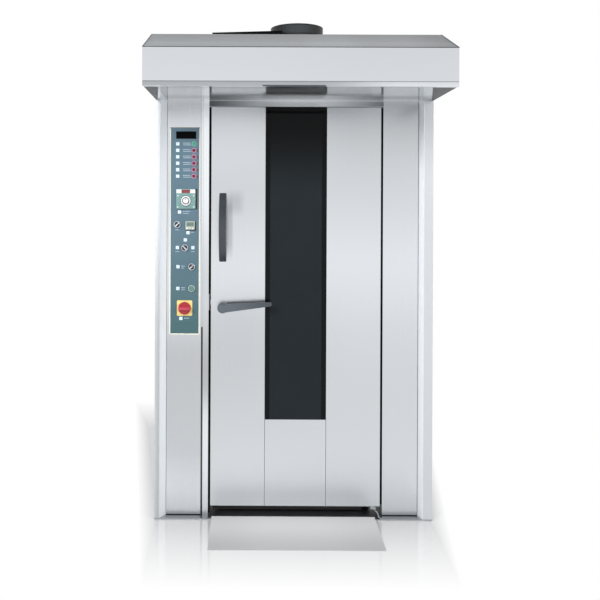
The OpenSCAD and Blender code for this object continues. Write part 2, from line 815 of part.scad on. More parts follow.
// Six pilot lamps: a ring, a domed lens and a holder behind the panel
module pilot_lamps() {
    color("red")
        for (i = [0 : 5])
            turned_y(lamp_x, panel_y, lamp_z - i * lamp_pitch)
                polygon([[0, -5], [2.5, -4.6], [4.3, -3.4], [lamp_r - 0.6, -1.6], [lamp_r + 1.4, -1.4],
                         [lamp_r + 1.8, -seat], [lamp_r - 1, -seat], [lamp_r - 1, 28], [0, 28]]);
}

// Temperature controller: a shallow front with a display strip, and its case behind
module temperature_controller() {
    front_y = panel_y - controller_out;
    display_h = 20;
    color("white") difference() {
        union() {
            block([controller_x - controller_w / 2, front_y, controller_z - controller_h / 2],
                  [controller_x + controller_w / 2, panel_y - 0.05, controller_z + controller_h / 2]);
            block([controller_x - controller_w / 2 + 7, panel_y - 1, controller_z - controller_h / 2 + 7],
                  [controller_x + controller_w / 2 - 7, cover_y + 60, controller_z + controller_h / 2 - 7]);
        }
        block([controller_x - 20, front_y - 1, controller_z + controller_h / 2 - 17],
              [controller_x + 20, front_y + 1, controller_z + controller_h / 2 - 5]);
        block([controller_x - controller_w / 2 - 1, front_y - 1, controller_z + controller_h / 2 - display_h - 2],
              [controller_x + controller_w / 2 + 1, front_y + 1, controller_z + controller_h / 2 - display_h]);
        rod_y(controller_x, dial_z, knob_spindle_r + run, front_y - 1, front_y + spindle_depth + 1);
    }
}

module temperature_dial() {
    front_y = panel_y - controller_out;
    color("white") difference() {
        union() {
            turned_y(controller_x, front_y, dial_z)
                polygon([[0, -14], [dial_r * 0.48, -14], [dial_r * 0.6, -13], [dial_r * 0.66, -5], [dial_r, -4],
                         [dial_r, -1], [knob_spindle_r, -1], [knob_spindle_r, spindle_depth], [0, spindle_depth]]);
        }
        block([controller_x - 1.2, front_y - 15, dial_z + dial_r * 0.2], [controller_x + 1.2, front_y - 12.5, dial_z + dial_r * 0.7]);
    }
}

// Timer: a square front with a display, three key wells in its lower edge and its case
module timer_module() {
    front_y = panel_y - timer_out;
    color("lightgray") difference() {
        union() {
            block([timer_x - timer_w / 2, front_y, timer_z - timer_h / 2],
                  [timer_x + timer_w / 2, panel_y - 0.05, timer_z + timer_h / 2]);
            block([timer_x - timer_w / 2 + 4, panel_y - 1, timer_z - timer_h / 2 + 4],
                  [timer_x + timer_w / 2 - 4, cover_y + 55, timer_z + timer_h / 2 - 4]);
        }
        block([timer_x - timer_w / 2 + 4, front_y - 1, timer_z - 4], [timer_x + timer_w / 2 - 4, front_y + 1, timer_z + timer_h / 2 - 4]);
        for (i = [-1 : 1])
            key_well(i);
    }
}

key_z = timer_z - timer_h / 2 + 7;
key_pitch = 12.5;
module key_well(i) {
    front_y = panel_y - timer_out;
    block([timer_x + i * key_pitch - key_w / 2 - seat, front_y - 1, key_z - key_h / 2 - seat],
          [timer_x + i * key_pitch + key_w / 2 + seat, front_y + key_travel + 4 + seat, key_z + key_h / 2 + seat]);
}

module timer_key(i) {
    front_y = panel_y - timer_out;
    color("white")
        block([timer_x + i * key_pitch - key_w / 2, front_y - key_out, key_z - key_h / 2],
              [timer_x + i * key_pitch + key_w / 2, front_y + 4, key_z + key_h / 2]);
}

module timer_key_left() { timer_key(-1); }

module timer_key_middle() { timer_key(0); }

module timer_key_right() { timer_key(1); }

// Selector switch: a ring, a sunk face and a grip bar, turned to its mark
module selector(x, z, turn) {
    color("black") {
        translate([x, panel_y, z]) rotate([0, turn, 0]) translate([-x, -panel_y, -z]) {
            turned_y(x, panel_y, z)
                polygon([[0, -5], [selector_r - 3, -5], [selector_r - 3, -8], [selector_r - 1.5, -8.5],
                         [selector_r, -6], [selector_r, -seat], [knob_spindle_r, -seat],
                         [knob_spindle_r, spindle_depth], [0, spindle_depth]]);
            along(panel_y - 15, panel_y - 4)
                translate([x, z]) round_rect(6, 2 * selector_r - 7, 2.8);
        }
    }
}

module heat_selector() { selector(heat_x, heat_z, 45); }

module fan_selector() { selector(fan_sel_x, fan_sel_z, -45); }

module lamp_selector() { selector(lamp_sel_x, lamp_sel_z, 45); }

// Push button with its own ring
button_travel = 4;
module start_button() {
    color("mediumseagreen")
        turned_y(start_x, panel_y, start_z)
            polygon([[0, -12], [button_r - 6, -11.5], [button_r - 4, -10.5], [button_r - 4, -button_travel - 1],
                     [knob_spindle_r, -button_travel - 1], [knob_spindle_r, spindle_depth - button_travel - 1],
                     [0, spindle_depth - button_travel - 1]]);
}

module main_switch_plate() {
    color("gold") difference() {
        along(panel_y - switch_t, panel_y - 0.05)
            translate([switch_x, switch_z]) round_rect(switch_plate, switch_plate, 4);
        rod_y(switch_x, switch_z, knob_spindle_r + 1, panel_y - switch_t - 1, panel_y + 1);
    }
}

// Round handle with a grip bar across it, level at rest
module main_switch_handle() {
    face_y = panel_y - switch_t;
    grip_w = 15;
    color("firebrick") {
        turned_y(switch_x, face_y, switch_z)
            polygon([[0, -12], [switch_r - 4, -12], [switch_r - 1, -10.5], [switch_r, -8], [switch_r, -seat],
                     [knob_spindle_r, -seat], [knob_spindle_r, spindle_depth], [0, spindle_depth]]);
        along(face_y - 27, face_y - 11)
            translate([switch_x, switch_z]) round_rect(2 * switch_r - 3, grip_w, 5);
    }
}

// The ramp

module ramp() {
    back = post_y + 5 - seat;
    front = back - ramp_len;
    toe = 2.5;
    cheek_t = 3;
    ramp_w = door_x1 - door_x0 - 2 * ramp_inset;
    x0 = door_mid - 10 - ramp_w / 2;
    color("silver") {
        across(x0, x0 + ramp_w)
            polygon([[back, floor_z], [front, toe], [front, 0], [front + 12, 0], [back - 6, floor_z - ramp_t],
                     [back - 6, base_t + 1], [back, base_t + 1]]);
        for (i = [0 : 3])
            across(x0 + i * (ramp_w - cheek_t) / 3, x0 + i * (ramp_w - cheek_t) / 3 + cheek_t)
                polygon([[back - 8, 0], [back - 8, floor_z - ramp_t + 0.2], [front + 30, 2], [front + 30, 0]]);
    }
}

// Latch, hinge brackets and the door

// Keeper on the door's left jamb: a plate with a rounded hollow before the bolt's nose
keeper_t = door_gap - bolt_out - 0.7;
module latch_keeper() {
    color("silver") difference() {
        block([jamb_x1, bolt_y - 22, bolt_z - bolt_h / 2 - 24], [jamb_x1 + keeper_t, bolt_y + bolt_t + 18, bolt_z + bolt_h / 2 + 24]);
        rod_z(jamb_x1 + keeper_t + bolt_t / 2 - 1.4, bolt_y + bolt_t / 2, bolt_t / 2 + 0.6,
              bolt_z - bolt_h / 2 - 3, bolt_z + bolt_h / 2 + 3);
    }
}

// Upper and lower brackets, each with its pivot pin; the lower one stands on the base
lug_top = door_bottom - 3;
pin_reach = 34;
module hinge_brackets() {
    lug_t = 9;
    foot_x = pivot_x + 17;
    thrust_r = 15;
    strip_t = 4;
    color("silver") {
        rod_z(pivot_x, pivot_y, pivot_r, lug_top - lug_t, door_bottom + pin_reach);
        rod_z(pivot_x, pivot_y, thrust_r, lug_top - 1, door_bottom - seat);
        raise(lug_top - lug_t, lug_top) {
            translate([pivot_x, pivot_y]) circle(thrust_r + 3);
            translate([pivot_x, pivot_y - thrust_r - 3]) square([13, 2 * thrust_r]);
        }
        along(post_y + 4, cover_y - seat)
            folded([[foot_x - 12, lug_top - 3], [foot_x - 3, lug_top - 8], [foot_x + 2, lug_top - 19],
                    [foot_x + 6, base_t + 11], [foot_x + 13, base_t + strip_t], [foot_x + 22, base_t + strip_t]],
                   -strip_t);
        block([pivot_x - 34, cover_y + sheet + seat, head_z + sheet],
              [pivot_x + 32, pivot_y + 34, head_z + sheet + 7]);
        rod_z(pivot_x, pivot_y, pivot_r, door_top - pin_reach, head_z + sheet + 1);
    }
}

// Frame of the door: a channel round its edge, two mullions, a rail, the pivot blocks and the lock plates
module door_frame() {
    y0 = core_y;
    y1 = core_back_y;
    bolt_clear = 0.4;
    block_s = 2 * (pivot_inset - frame_t);
    color("gray") difference() {
        union() {
            difference() {
                block([door_x0 + skin_t + seat, y0, door_bottom + skin_t + seat],
                      [door_x1 - skin_t - seat, y1, door_top - skin_t - seat]);
                block([door_x0 + stile_w, y0 - 1, door_bottom + stile_w], [door_x1 - stile_w, y1 + 1, door_top - stile_w]);
                block([door_x0 + skin_t + frame_t, y0 + frame_t, door_bottom + skin_t + frame_t],
                      [door_x1 - skin_t - frame_t, y1 - frame_t, door_top - skin_t - frame_t]);
            }
            for (x = [window_x0 - mullion_w, window_x1])
                difference() {
                    block([x, y0, door_bottom + 3], [x + mullion_w, y1, door_top - 3]);
                    block([x + frame_t, y0 + frame_t, door_bottom + 10], [x + mullion_w - frame_t, y1 - frame_t, door_top - 10]);
                }
            block([window_x0, y0, window_z - mullion_w], [window_x1, y1, window_z - mullion_w + frame_t]);
            for (z = [[door_bottom + skin_t + seat, door_bottom + 46], [door_top - 46, door_top - skin_t - seat]])
                block([pivot_x - block_s / 2, door_y + skin_t + seat, z[0]],
                      [pivot_x + block_s / 2 - 1, pivot_y + block_s / 2, z[1]]);
            for (y = [lock_y, bolt_y + bolt_t + seat])
                block([door_x0 + skin_t + 1, y, lever_z - 36], [lever_x + 30, y + guide_t, lever_z + 62]);
        }
        for (z = [[door_bottom - 1, door_bottom + pin_reach + 2], [door_top - pin_reach - 2, door_top + 1]])
            rod_z(pivot_x, pivot_y, pivot_r + run, z[0], z[1]);
        rod_y(lever_x, lever_z, spindle_r + run, lock_y - 1, bolt_y + bolt_t + seat + guide_t + 1);
        block([door_x0 - 1, bolt_y - bolt_clear, bolt_z - bolt_h / 2 - bolt_clear],
              [door_x0 + stile_w + 1, bolt_y + bolt_t + seat, bolt_z + bolt_h / 2 + bolt_clear]);
    }
}

module door_left_skin() {
    rosette_r = 27;
    color("gainsboro") difference() {
        union() {
            front_tray(door_x0, window_x0, door_bottom, door_top, door_y, hem, skin_t);
            rod_y(lever_x, lever_z, rosette_r, door_y - 4, door_y + 1);
        }
        rod_y(lever_x, lever_z, spindle_r + 1, door_y - 5, door_y + skin_t + 1);
        block([door_x0 - 1, bolt_y - 1, bolt_z - bolt_h / 2 - 1], [door_x0 + skin_t + 1, bolt_y + bolt_t + 1, bolt_z + bolt_h / 2 + 1]);
    }
}

module door_right_skin() {
    color("gainsboro") difference() {
        front_tray(window_x1, door_x1, door_bottom, door_top, door_y, hem, skin_t);
        rod_z(pivot_x, pivot_y, pivot_r + 1, door_bottom - 1, door_top + 1);
    }
}

module door_lower_panel() {
    color("gainsboro")
        front_tray(window_x0 + seat, window_x1 - seat, door_bottom, window_z, door_y, hem, skin_t);
}

// Outer and inner panes of the window
module window_glass() {
    color("black") {
        block([window_x0 + seat, door_y + 2, window_z + seat], [window_x1 - seat, door_y + 2 + pane_t, door_top]);
        block([window_x0 + 14 + seat, liner_y - skin_t - pane_t - seat, window_z + 14 + seat],
              [window_x1 - 14 - seat, liner_y - skin_t - seat, way_top - 20 - seat]);
    }
}

// Inner liner of the door, with the sleeve of the window
module door_liner() {
    edge = 4;
    sleeve = 1.2;
    y0 = door_y + 2 + pane_t + seat;
    x0 = window_x0 + 2;
    x1 = window_x1 - 2;
    z0 = window_z + 2;
    z1 = way_top - 8;
    color("lightgray") difference() {
        union() {
            block([door_x0 + edge, liner_y - skin_t, door_bottom + edge], [door_x1 - edge, liner_y, door_top - edge]);
            block([x0, y0, z0], [x1, liner_y, z1]);
        }
        block([x0 + sleeve, y0 - 1, z0 + sleeve], [x1 - sleeve, liner_y - skin_t, z1 - sleeve]);
        block([window_x0 + 20, liner_y - skin_t - 1, window_z + 20], [window_x1 - 20, liner_y + 1, way_top - 26]);
    }
}

// Rubber seal on three sides of the liner, with a round face towards the portal
module door_gasket() {
    inset = pivot_inset - 5;
    bulb_y = portal_y - 2 * seat - seal_w / 2;
    x0 = door_x0 + inset;
    x1 = door_x1 - inset;
    z1 = door_top - inset;
    color("dimgray") intersection() {
        union() {
            for (x = [x0, x1]) {
                block([x - seal_w / 2, liner_y, door_bottom + 6], [x + seal_w / 2, bulb_y, z1]);
                rod_z(x, bulb_y, seal_w / 2, door_bottom + 6, z1);
                rod_y(x, z1, seal_w / 2, liner_y, bulb_y);
                translate([x, bulb_y, z1]) sphere(seal_w / 2);
            }
            block([x0, liner_y, z1 - seal_w / 2], [x1, bulb_y, z1 + seal_w / 2]);
            rod_x(bulb_y, z1, seal_w / 2, x0, x1);
        }
        block([door_x0, liner_y, 0], [door_x1, portal_y, door_top]);
    }
}

// Seal under the door: a holder and a soft lip just clear of the floor
module door_sweep() {
    y = door_y + 34;
    x0 = door_x0 + 8;
    x1 = pivot_x - 45;
    lip_gap = 5;
    color("black") {
        block([x0, y, door_bottom - 16], [x1, y + 22, door_bottom + skin_t + seat]);
        along(y + 6, y + 12)
            polygon([[x0, door_bottom - 16], [x1, door_bottom - 16], [x1, floor_z + lip_gap], [x0, floor_z + lip_gap]]);
    }
}

// Mineral wool in the door
module door_insulation() {
    y0 = core_y + frame_t;
    y1 = core_back_y - 1;
    color("khaki") {
        difference() {
            block([door_x0 + stile_w + seat, y0, door_bottom + stile_w + seat],
                  [window_x0 - mullion_w - seat, y1, door_top - stile_w - seat]);
            block([door_x0, y0 - 1, lever_z - 42], [lever_x + 36, y1 + 1, lever_z + 68]);
        }
        difference() {
            block([window_x1 + mullion_w + seat, y0, door_bottom + stile_w + seat],
                  [door_x1 - stile_w - seat, y1, door_top - stile_w - seat]);
            for (z = [[door_bottom, door_bottom + 50], [door_top - 50, door_top]])
                block([pivot_x - 40, y0 - 1, z[0]], [door_x1, y0 + 45, z[1]]);
        }
        block([window_x0 + seat, y0, door_bottom + stile_w + seat], [window_x1 - seat, y1, window_z - mullion_w - seat]);
    }
}

// Bow handle: a bar that arches out from the door, rounded at both ends
module pull_handle() {
    x = door_x0 + pull_inset;
    half = pull_len / 2;
    out = pull_out + pull_t;
    bow_r = (half * half + out * out) / (2 * out);
    pad = 30;
    color("dimgray") intersection() {
        difference() {
            union() {
                across(x - pull_w / 2, x + pull_w / 2)
                    intersection() {
                        translate([door_y - out + bow_r, pull_z]) circle(bow_r, $fn = 160);
                        translate([door_y - out - 1, pull_z - half]) square([out + 1 - seat, pull_len]);
                    }
            }
            across(x - pull_w, x + pull_w)
                intersection() {
                    translate([door_y - pull_out + bow_r, pull_z]) circle(bow_r - 2, $fn = 160);
                    translate([door_y - out, pull_z - half + pad]) square([out + 1, pull_len - 2 * pad]);
                }
        }
        along(door_y - out - 1, door_y + 1)
            translate([x, pull_z]) round_rect(pull_w, pull_len, 5);
    }
}

// Tapered lever with its hub, its spindle through the door and the crank that draws the bolt
hub_out = 40;
lever_t = 15;
module latch_lever() {
    hub_r2 = 23;
    y0 = door_y - hub_out - lever_t;
    color("dimgray") {
        rod_y(lever_x, lever_z, hub_r2, y0 + lever_t - 4, door_y - 4 - seat);
        rod_y(lever_x, lever_z, hub_r2 - 3, y0 - 3, y0 + lever_t);
        rod_y(lever_x, lever_z, spindle_r, door_y - 5, bolt_y + bolt_t + seat + guide_t);
        translate([lever_x, 0, lever_z]) rotate([0, -lever_slope, 0])
            along(y0, y0 + lever_t)
                difference() {
                    union() {
                        polygon([[0, -lever_root_w / 2], [lever_len - lever_tip_w / 2, -lever_tip_w / 2],
                                 [lever_len - lever_tip_w / 2, lever_tip_w / 2], [0, lever_root_w / 2]]);
                        translate([lever_len - lever_tip_w / 2, 0]) circle(lever_tip_w / 2);
                        circle(lever_root_w / 2);
                    }
                }
        along(lock_y + guide_t + seat, bolt_y - seat - 0.5)
            translate([lever_x, lever_z]) {
                circle(spindle_r + 5);
                translate([-5, 0]) square([10, crank_r]);
                translate([0, crank_r]) circle(5);
            }
        rod_y(lever_x, lever_z + crank_r, 3, bolt_y - seat - 1, bolt_y + bolt_t - 1);
    }
}

// Bolt with a rounded nose, and the upright slot that the crank's pin works in
module latch_bolt() {
    slot_w = 8;
    tail = 12;
    slot_low = crank_r * 0.766 - 4;
    slot_top = crank_r + 4;
    color("silver") difference() {
        union() {
            block([door_x0 - bolt_out + bolt_t / 2, bolt_y, bolt_z - bolt_h / 2],
                  [lever_x + tail, bolt_y + bolt_t, bolt_z + bolt_h / 2]);
            rod_z(door_x0 - bolt_out + bolt_t / 2, bolt_y + bolt_t / 2, bolt_t / 2, bolt_z - bolt_h / 2, bolt_z + bolt_h / 2);
        }
        block([lever_x - slot_w / 2, bolt_y - 1, lever_z + slot_low],
              [lever_x + slot_w / 2, bolt_y + bolt_t + 1, lever_z + slot_top]);
    }
}

// The rack carrier, its bearing and its drive

pedestal_r = 46;
pedestal_flange_r = 90;
module carrier_bearing() {
    color("slategray") difference() {
        union() {
            rod_z(0, carrier_y, pedestal_flange_r, ceiling_z + lining, ceiling_z + lining + 8);
            rod_z(0, carrier_y, pedestal_r, ceiling_z + lining, bearing_top);
            rod_z(0, carrier_y, 72, bearing_top - 8, bearing_top);
        }
        rod_z(0, carrier_y, shaft_r + run, ceiling_z, bearing_top + 1);
    }
}

// Worm gearbox on the bearing's flange, and its finned motor to the right
module gearmotor() {
    box_z = bearing_top;
    motor_z = box_z + 70;
    motor_r = 62;
    motor_x = gearbox_w / 2;
    motor_len = 230;
    color("steelblue") difference() {
        union() {
            raise(box_z, box_z + gearbox_h)
                translate([0, carrier_y]) round_rect(gearbox_w, gearbox_d, 22);
            rod_z(0, carrier_y, 52, box_z + gearbox_h - 1, box_z + gearbox_h + 10);
            translate([motor_x - 2, carrier_y + 20, motor_z]) rotate([0, 90, 0]) rotate_extrude()
                polygon(concat([[0, 0], [motor_r + 12, 0], [motor_r + 12, 12]],
                               [for (i = [0 : 11]) for (p = [[-10, 0], [0, 0], [0, 5], [-10, 5]])
                                   [motor_r + p[0] + 4, 16 + i * 12 + p[1]]],
                               [[motor_r - 6, 165], [motor_r + 2, 168], [motor_r + 2, motor_len - 8],
                                [motor_r - 8, motor_len], [0, motor_len]]));
            block([motor_x + 40, carrier_y + 20 - 35, motor_z + motor_r - 12], [motor_x + 120, carrier_y + 20 + 35, motor_z + motor_r + 26]);
        }
        rod_z(0, carrier_y, shaft_r + run, box_z - 1, box_z + gearbox_h - 10);
    }
}

// Turning carrier: shaft, hub, cross arms and two hook rails for the rack's top frame
module rack_carrier() {
    lip = 26;
    arm_w = 60;
    arm_t = 8;
    rail_top = hub_z - arm_t;
    color("silver") {
        rod_z(0, carrier_y, shaft_r, hub_z, shaft_top);
        rod_z(0, carrier_y, hub_r, hub_z, hub_z + hub_h);
        rod_z(0, carrier_y, shaft_r + 14, hub_z + hub_h - 1, hub_z + hub_h + 14);
        for (y = [-rail_len / 2 + 70, rail_len / 2 - 70])
            block([-rail_x - lip, carrier_y + y - arm_w / 2, rail_top], [rail_x + lip, carrier_y + y + arm_w / 2, hub_z]);
        block([-arm_w / 2, carrier_y - rail_len / 2 + 70, rail_top], [arm_w / 2, carrier_y + rail_len / 2 - 70, hub_z + 0.1]);
        for (side = [-1, 1])
            translate([side * rail_x, 0, 0]) {
                along(carrier_y - rail_len / 2, carrier_y + rail_len / 2)
                    folded([[side * lip, rail_top - rail_h + 16], [side * lip, rail_top - rail_h], [0, rail_top - rail_h],
                            [0, rail_top + 1]], -side * carrier_t);
                for (y = [-rail_len / 2 + 70, rail_len / 2 - 70])
                    along(carrier_y + y - 3, carrier_y + y + 3)
                        polygon([[0, rail_top + 1], [side * -40, rail_top + 1], [0, rail_top - rail_h]]);
            }
        block([-rail_x, carrier_y + rail_len / 2 - carrier_t, rail_top - rail_h], [rail_x, carrier_y + rail_len / 2, rail_top + 1]);
    }
}

// Circulation fan: back plate, inlet ring, curved blades, hub and shaft
fan_z = ceiling_z - 30;
module fan_impeller() {
    inner_r = wheel_r * 0.52;
    hub_d = 30;
    color("lightslategray") {
        rod_z(0, fan_y, fan_shaft_r, fan_z - blade_h, motor_z0 + 30);
        rod_z(0, fan_y, hub_d, fan_z - 34, fan_z + 4);
        rod_z(0, fan_y, wheel_r, fan_z - 3, fan_z);
        difference() {
            rod_z(0, fan_y, wheel_r, fan_z - blade_h, fan_z - blade_h + 3);
            rod_z(0, fan_y, inner_r, fan_z - blade_h - 1, fan_z - blade_h + 4);
        }
        raise(fan_z - blade_h + 1, fan_z - 1)
            translate([0, fan_y])
                for (i = [0 : blades - 1])
                    rotate(i * 360 / blades) blade(inner_r);
    }
}

// Outline of one blade: an arc of even thickness from the inner radius to the rim
module blade(inner_r) {
    steps = 6;
    lean = 34;
    function at(u, off) = let (r = inner_r + 2 + u * (wheel_r - inner_r - 3), a = lean * pow(u, 1.4))
        [r * cos(a) - off * sin(a + 20), r * sin(a) + off * cos(a + 20)];
    polygon(concat([for (i = [0 : steps]) at(i / steps, 0)],
                   [for (i = [steps : -1 : 0]) at(i / steps, blade_t)]));
}

// Fan motor on its pedestal above the ceiling
motor_foot_r = 60;
motor_z0 = insulation_z + 6;
fan_motor_h = 190;
module fan_motor() {
    motor_r = 72;
    top = motor_z0 + fan_motor_h;
    color("steelblue") difference() {
        union() {
            rod_z(0, fan_y, motor_foot_r, ceiling_z + lining, ceiling_z + lining + 8);
            rod_z(0, fan_y, 40, ceiling_z + lining, motor_z0);
            translate([0, fan_y, motor_z0]) rotate_extrude()
                polygon(concat([[0, 0], [motor_r + 8, 0], [motor_r + 8, 10]],
                               [for (i = [0 : 8]) for (p = [[-9, 0], [0, 0], [0, 5], [-9, 5]])
                                   [motor_r + p[0], 16 + i * 12 + p[1]]],
                               [[motor_r - 9, 130], [motor_r - 2, 134], [motor_r - 2, 180], [motor_r - 14, top - motor_z0], [0, top - motor_z0]]));
            block([-35, fan_y + motor_r - 20, motor_z0 + 40], [35, fan_y + motor_r + 18, motor_z0 + 110]);
        }
        rod_z(0, fan_y, fan_shaft_r + run, ceiling_z, motor_z0 + 40);
    }
}

// Hairpin heating elements that hang from a bar on the back wall
heater_margin = 60;
heater_drop = 240;
heater_low = 320;
module heating_elements() {
    tube_r = 5;
    pins = 10;
    pitch = (chamber_w - 2 * heater_margin) / pins;
    half = 18;
    top = ceiling_z - heater_drop;
    low = heater_low;
    y = plenum_y - 25;
    color("darkred") {
        difference() {
            union() {
                block([-pins * pitch / 2, y - 14, top], [pins * pitch / 2, plenum_y - seat, top + 6]);
                block([-pins * pitch / 2, plenum_y - seat - 4, top - 30], [pins * pitch / 2, plenum_y - seat, top + 6]);
                block([-pins * pitch / 2, y - 14, low + 60], [pins * pitch / 2, plenum_y - seat, low + 64]);
            }
        }
        for (i = [0 : pins - 1])
            translate([(i - (pins - 1) / 2) * pitch, y, 0]) {
                for (x = [-half, half])
                    rod_z(x, 0, tube_r, low, top + 26);
                translate([0, 0, low]) rotate([90, 0, 0]) rotate([0, 0, 180])
                    rotate_extrude(angle = 180) translate([half, 0]) circle(tube_r, $fn = 24);
            }
    }
}

// Steam generator: two side plates that carry rows of iron bars, and the water pipe over them
steam_margin = 120;
module steam_generator() {
    rows = 8;
    row_h = 62;
    half_w = chamber_w / 2 - steam_margin;
    y0 = air_y + air_wall_t + 60;
    y1 = y0 + 120;
    bar_r = 13;
    color("saddlebrown") {
        for (x = [-half_w, half_w - 5])
            block([x, y0, floor_z], [x + 5, y1, floor_z + 60 + rows * row_h]);
        for (i = [0 : rows - 1])
            for (j = [0 : 2])
                rod_x(y0 + 24 + j * 36, floor_z + 50 + i * row_h + (j % 2) * 24, bar_r, -half_w + 4, half_w - 4);
        rod_x(y0 + 60, floor_z + 48 + rows * row_h, 6, -half_w + 4, half_w - 4);
    }
}

// Lamp of the chamber: a shallow housing behind a rounded glass, on the portal's inner face
lamp_side = 62;
lamp_drop = 443;
lamp_case_h = 400;
module chamber_lamp() {
    x = way_x1 + lamp_side;
    z1 = way_top - lamp_drop;
    z0 = z1 - lamp_case_h;
    color("lightyellow") {
        block([x - 34, chamber_y, z0], [x + 34, chamber_y + 12, z1]);
        intersection() {
            rod_z(x, chamber_y + 2, 30, z0 + 12, z1 - 12);
            block([x - 40, chamber_y + 10, z0], [x + 40, chamber_y + 60, z1]);
        }
    }
}

base_frame();
chamber_floor();
left_side_panel();
right_side_panel();
rear_panel();
roof_panel();
left_corner_post();
right_corner_post();
control_column_cover();
right_column_cover();
door_surround();
portal_frame();
chamber_left_wall();
chamber_right_wall();
chamber_back_wall();
chamber_ceiling();
air_wall();
insulation();
hood_shell();
hood_underside();
flue_duct();
damper_cover();
control_panel();
pilot_lamps();
temperature_controller();
timer_module();
main_switch_plate();
ramp();
latch_keeper();
hinge_brackets();
gearmotor();
carrier_bearing();
fan_motor();
heating_elements();
steam_generator();
chamber_lamp();
door_frame();
door_left_skin();
door_right_skin();
door_lower_panel();
window_glass();
door_liner();
door_gasket();
door_sweep();
door_insulation();
pull_handle();
latch_lever();
latch_bolt();
rack_carrier();
fan_impeller();
flue_damper();
temperature_dial();
heat_selector();
fan_selector();
lamp_selector();
start_button();
main_switch_handle();
timer_key_left();
timer_key_middle();
timer_key_right();
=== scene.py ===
"""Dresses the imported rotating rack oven: brushed sheet steel, tinted glass, the control
column with its switches and lamps, handles, duct, chamber and drives, and a plain studio."""

import json
import math

import bmesh
import bpy
import numpy as np
from bpy.props import FloatProperty, FloatVectorProperty, IntProperty, PointerProperty
from mathutils import Matrix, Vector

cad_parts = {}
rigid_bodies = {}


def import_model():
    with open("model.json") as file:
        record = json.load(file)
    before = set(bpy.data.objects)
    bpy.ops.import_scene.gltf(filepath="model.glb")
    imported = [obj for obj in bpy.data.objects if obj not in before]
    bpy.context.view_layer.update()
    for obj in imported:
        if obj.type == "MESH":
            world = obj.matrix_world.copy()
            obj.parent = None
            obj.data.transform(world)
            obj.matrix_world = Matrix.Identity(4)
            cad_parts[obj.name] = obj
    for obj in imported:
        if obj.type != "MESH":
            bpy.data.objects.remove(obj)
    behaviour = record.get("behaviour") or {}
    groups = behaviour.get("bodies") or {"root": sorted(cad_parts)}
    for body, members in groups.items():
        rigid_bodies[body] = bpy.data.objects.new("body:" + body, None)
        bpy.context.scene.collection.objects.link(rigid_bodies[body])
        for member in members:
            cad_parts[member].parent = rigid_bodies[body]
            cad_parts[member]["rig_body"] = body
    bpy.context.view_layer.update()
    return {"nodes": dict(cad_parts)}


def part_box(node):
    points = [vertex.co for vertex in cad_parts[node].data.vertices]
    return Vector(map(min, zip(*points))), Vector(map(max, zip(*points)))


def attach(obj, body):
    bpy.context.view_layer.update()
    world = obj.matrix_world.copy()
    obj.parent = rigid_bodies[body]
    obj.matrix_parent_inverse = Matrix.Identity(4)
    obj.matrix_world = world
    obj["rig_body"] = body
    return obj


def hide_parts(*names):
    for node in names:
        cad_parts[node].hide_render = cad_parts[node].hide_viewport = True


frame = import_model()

bl_info = {
    "name": "Rotating rack oven",
    "version": (1, 0, 0),
    "blender": (4, 5, 0),
    "location": "View3D > Sidebar > Rack oven",
    "description": "Builds the surfaces and finishes of a rotating rack oven",
    "category": "Object",
}


def linear(r, g, b):
    """A colour given as 0 to 255 steps, as the linear values that shaders take."""
    steps = np.array([r, g, b]) / 255.0
    curve = ((steps + 0.055) / 1.055) ** 2.4
    return tuple(np.where(steps <= 0.04045, steps / 12.92, curve).tolist())


def shade(colour, factor):
    return tuple(min(1.0, c * factor) for c in colour)


def node_box(node):
    """Lowest and highest corner of a CAD node as numpy arrays."""
    low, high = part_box(node)
    return np.array(low), np.array(high)


def node_centre(node):
    low, high = node_box(node)
    return (low + high) / 2


# ---------------------------------------------------------------- sizes and colours


class OvenSizes(bpy.types.PropertyGroup):
    sheet_edge: FloatProperty(
        name="Sheet edge", description="Radius of the folded edges of the sheets",
        default=0.0007, min=0.0002, max=0.002, unit="LENGTH")
    handle_edge: FloatProperty(
        name="Handle edge", description="Radius of the edges of the pull handle and lever",
        default=0.003, min=0.001, max=0.006, unit="LENGTH")
    screw_radius: FloatProperty(
        name="Screw head", description="Radius of the screw heads on the side and back sheets",
        default=0.006, min=0.004, max=0.009, unit="LENGTH")
    screw_count: IntProperty(
        name="Screws per edge", description="Number of screws along an upright edge",
        default=7, min=3, max=12)
    icon_side: FloatProperty(
        name="Symbol plate", description="Side of the white symbol plates on the control panel",
        default=0.0150, min=0.008, max=0.018, unit="LENGTH")


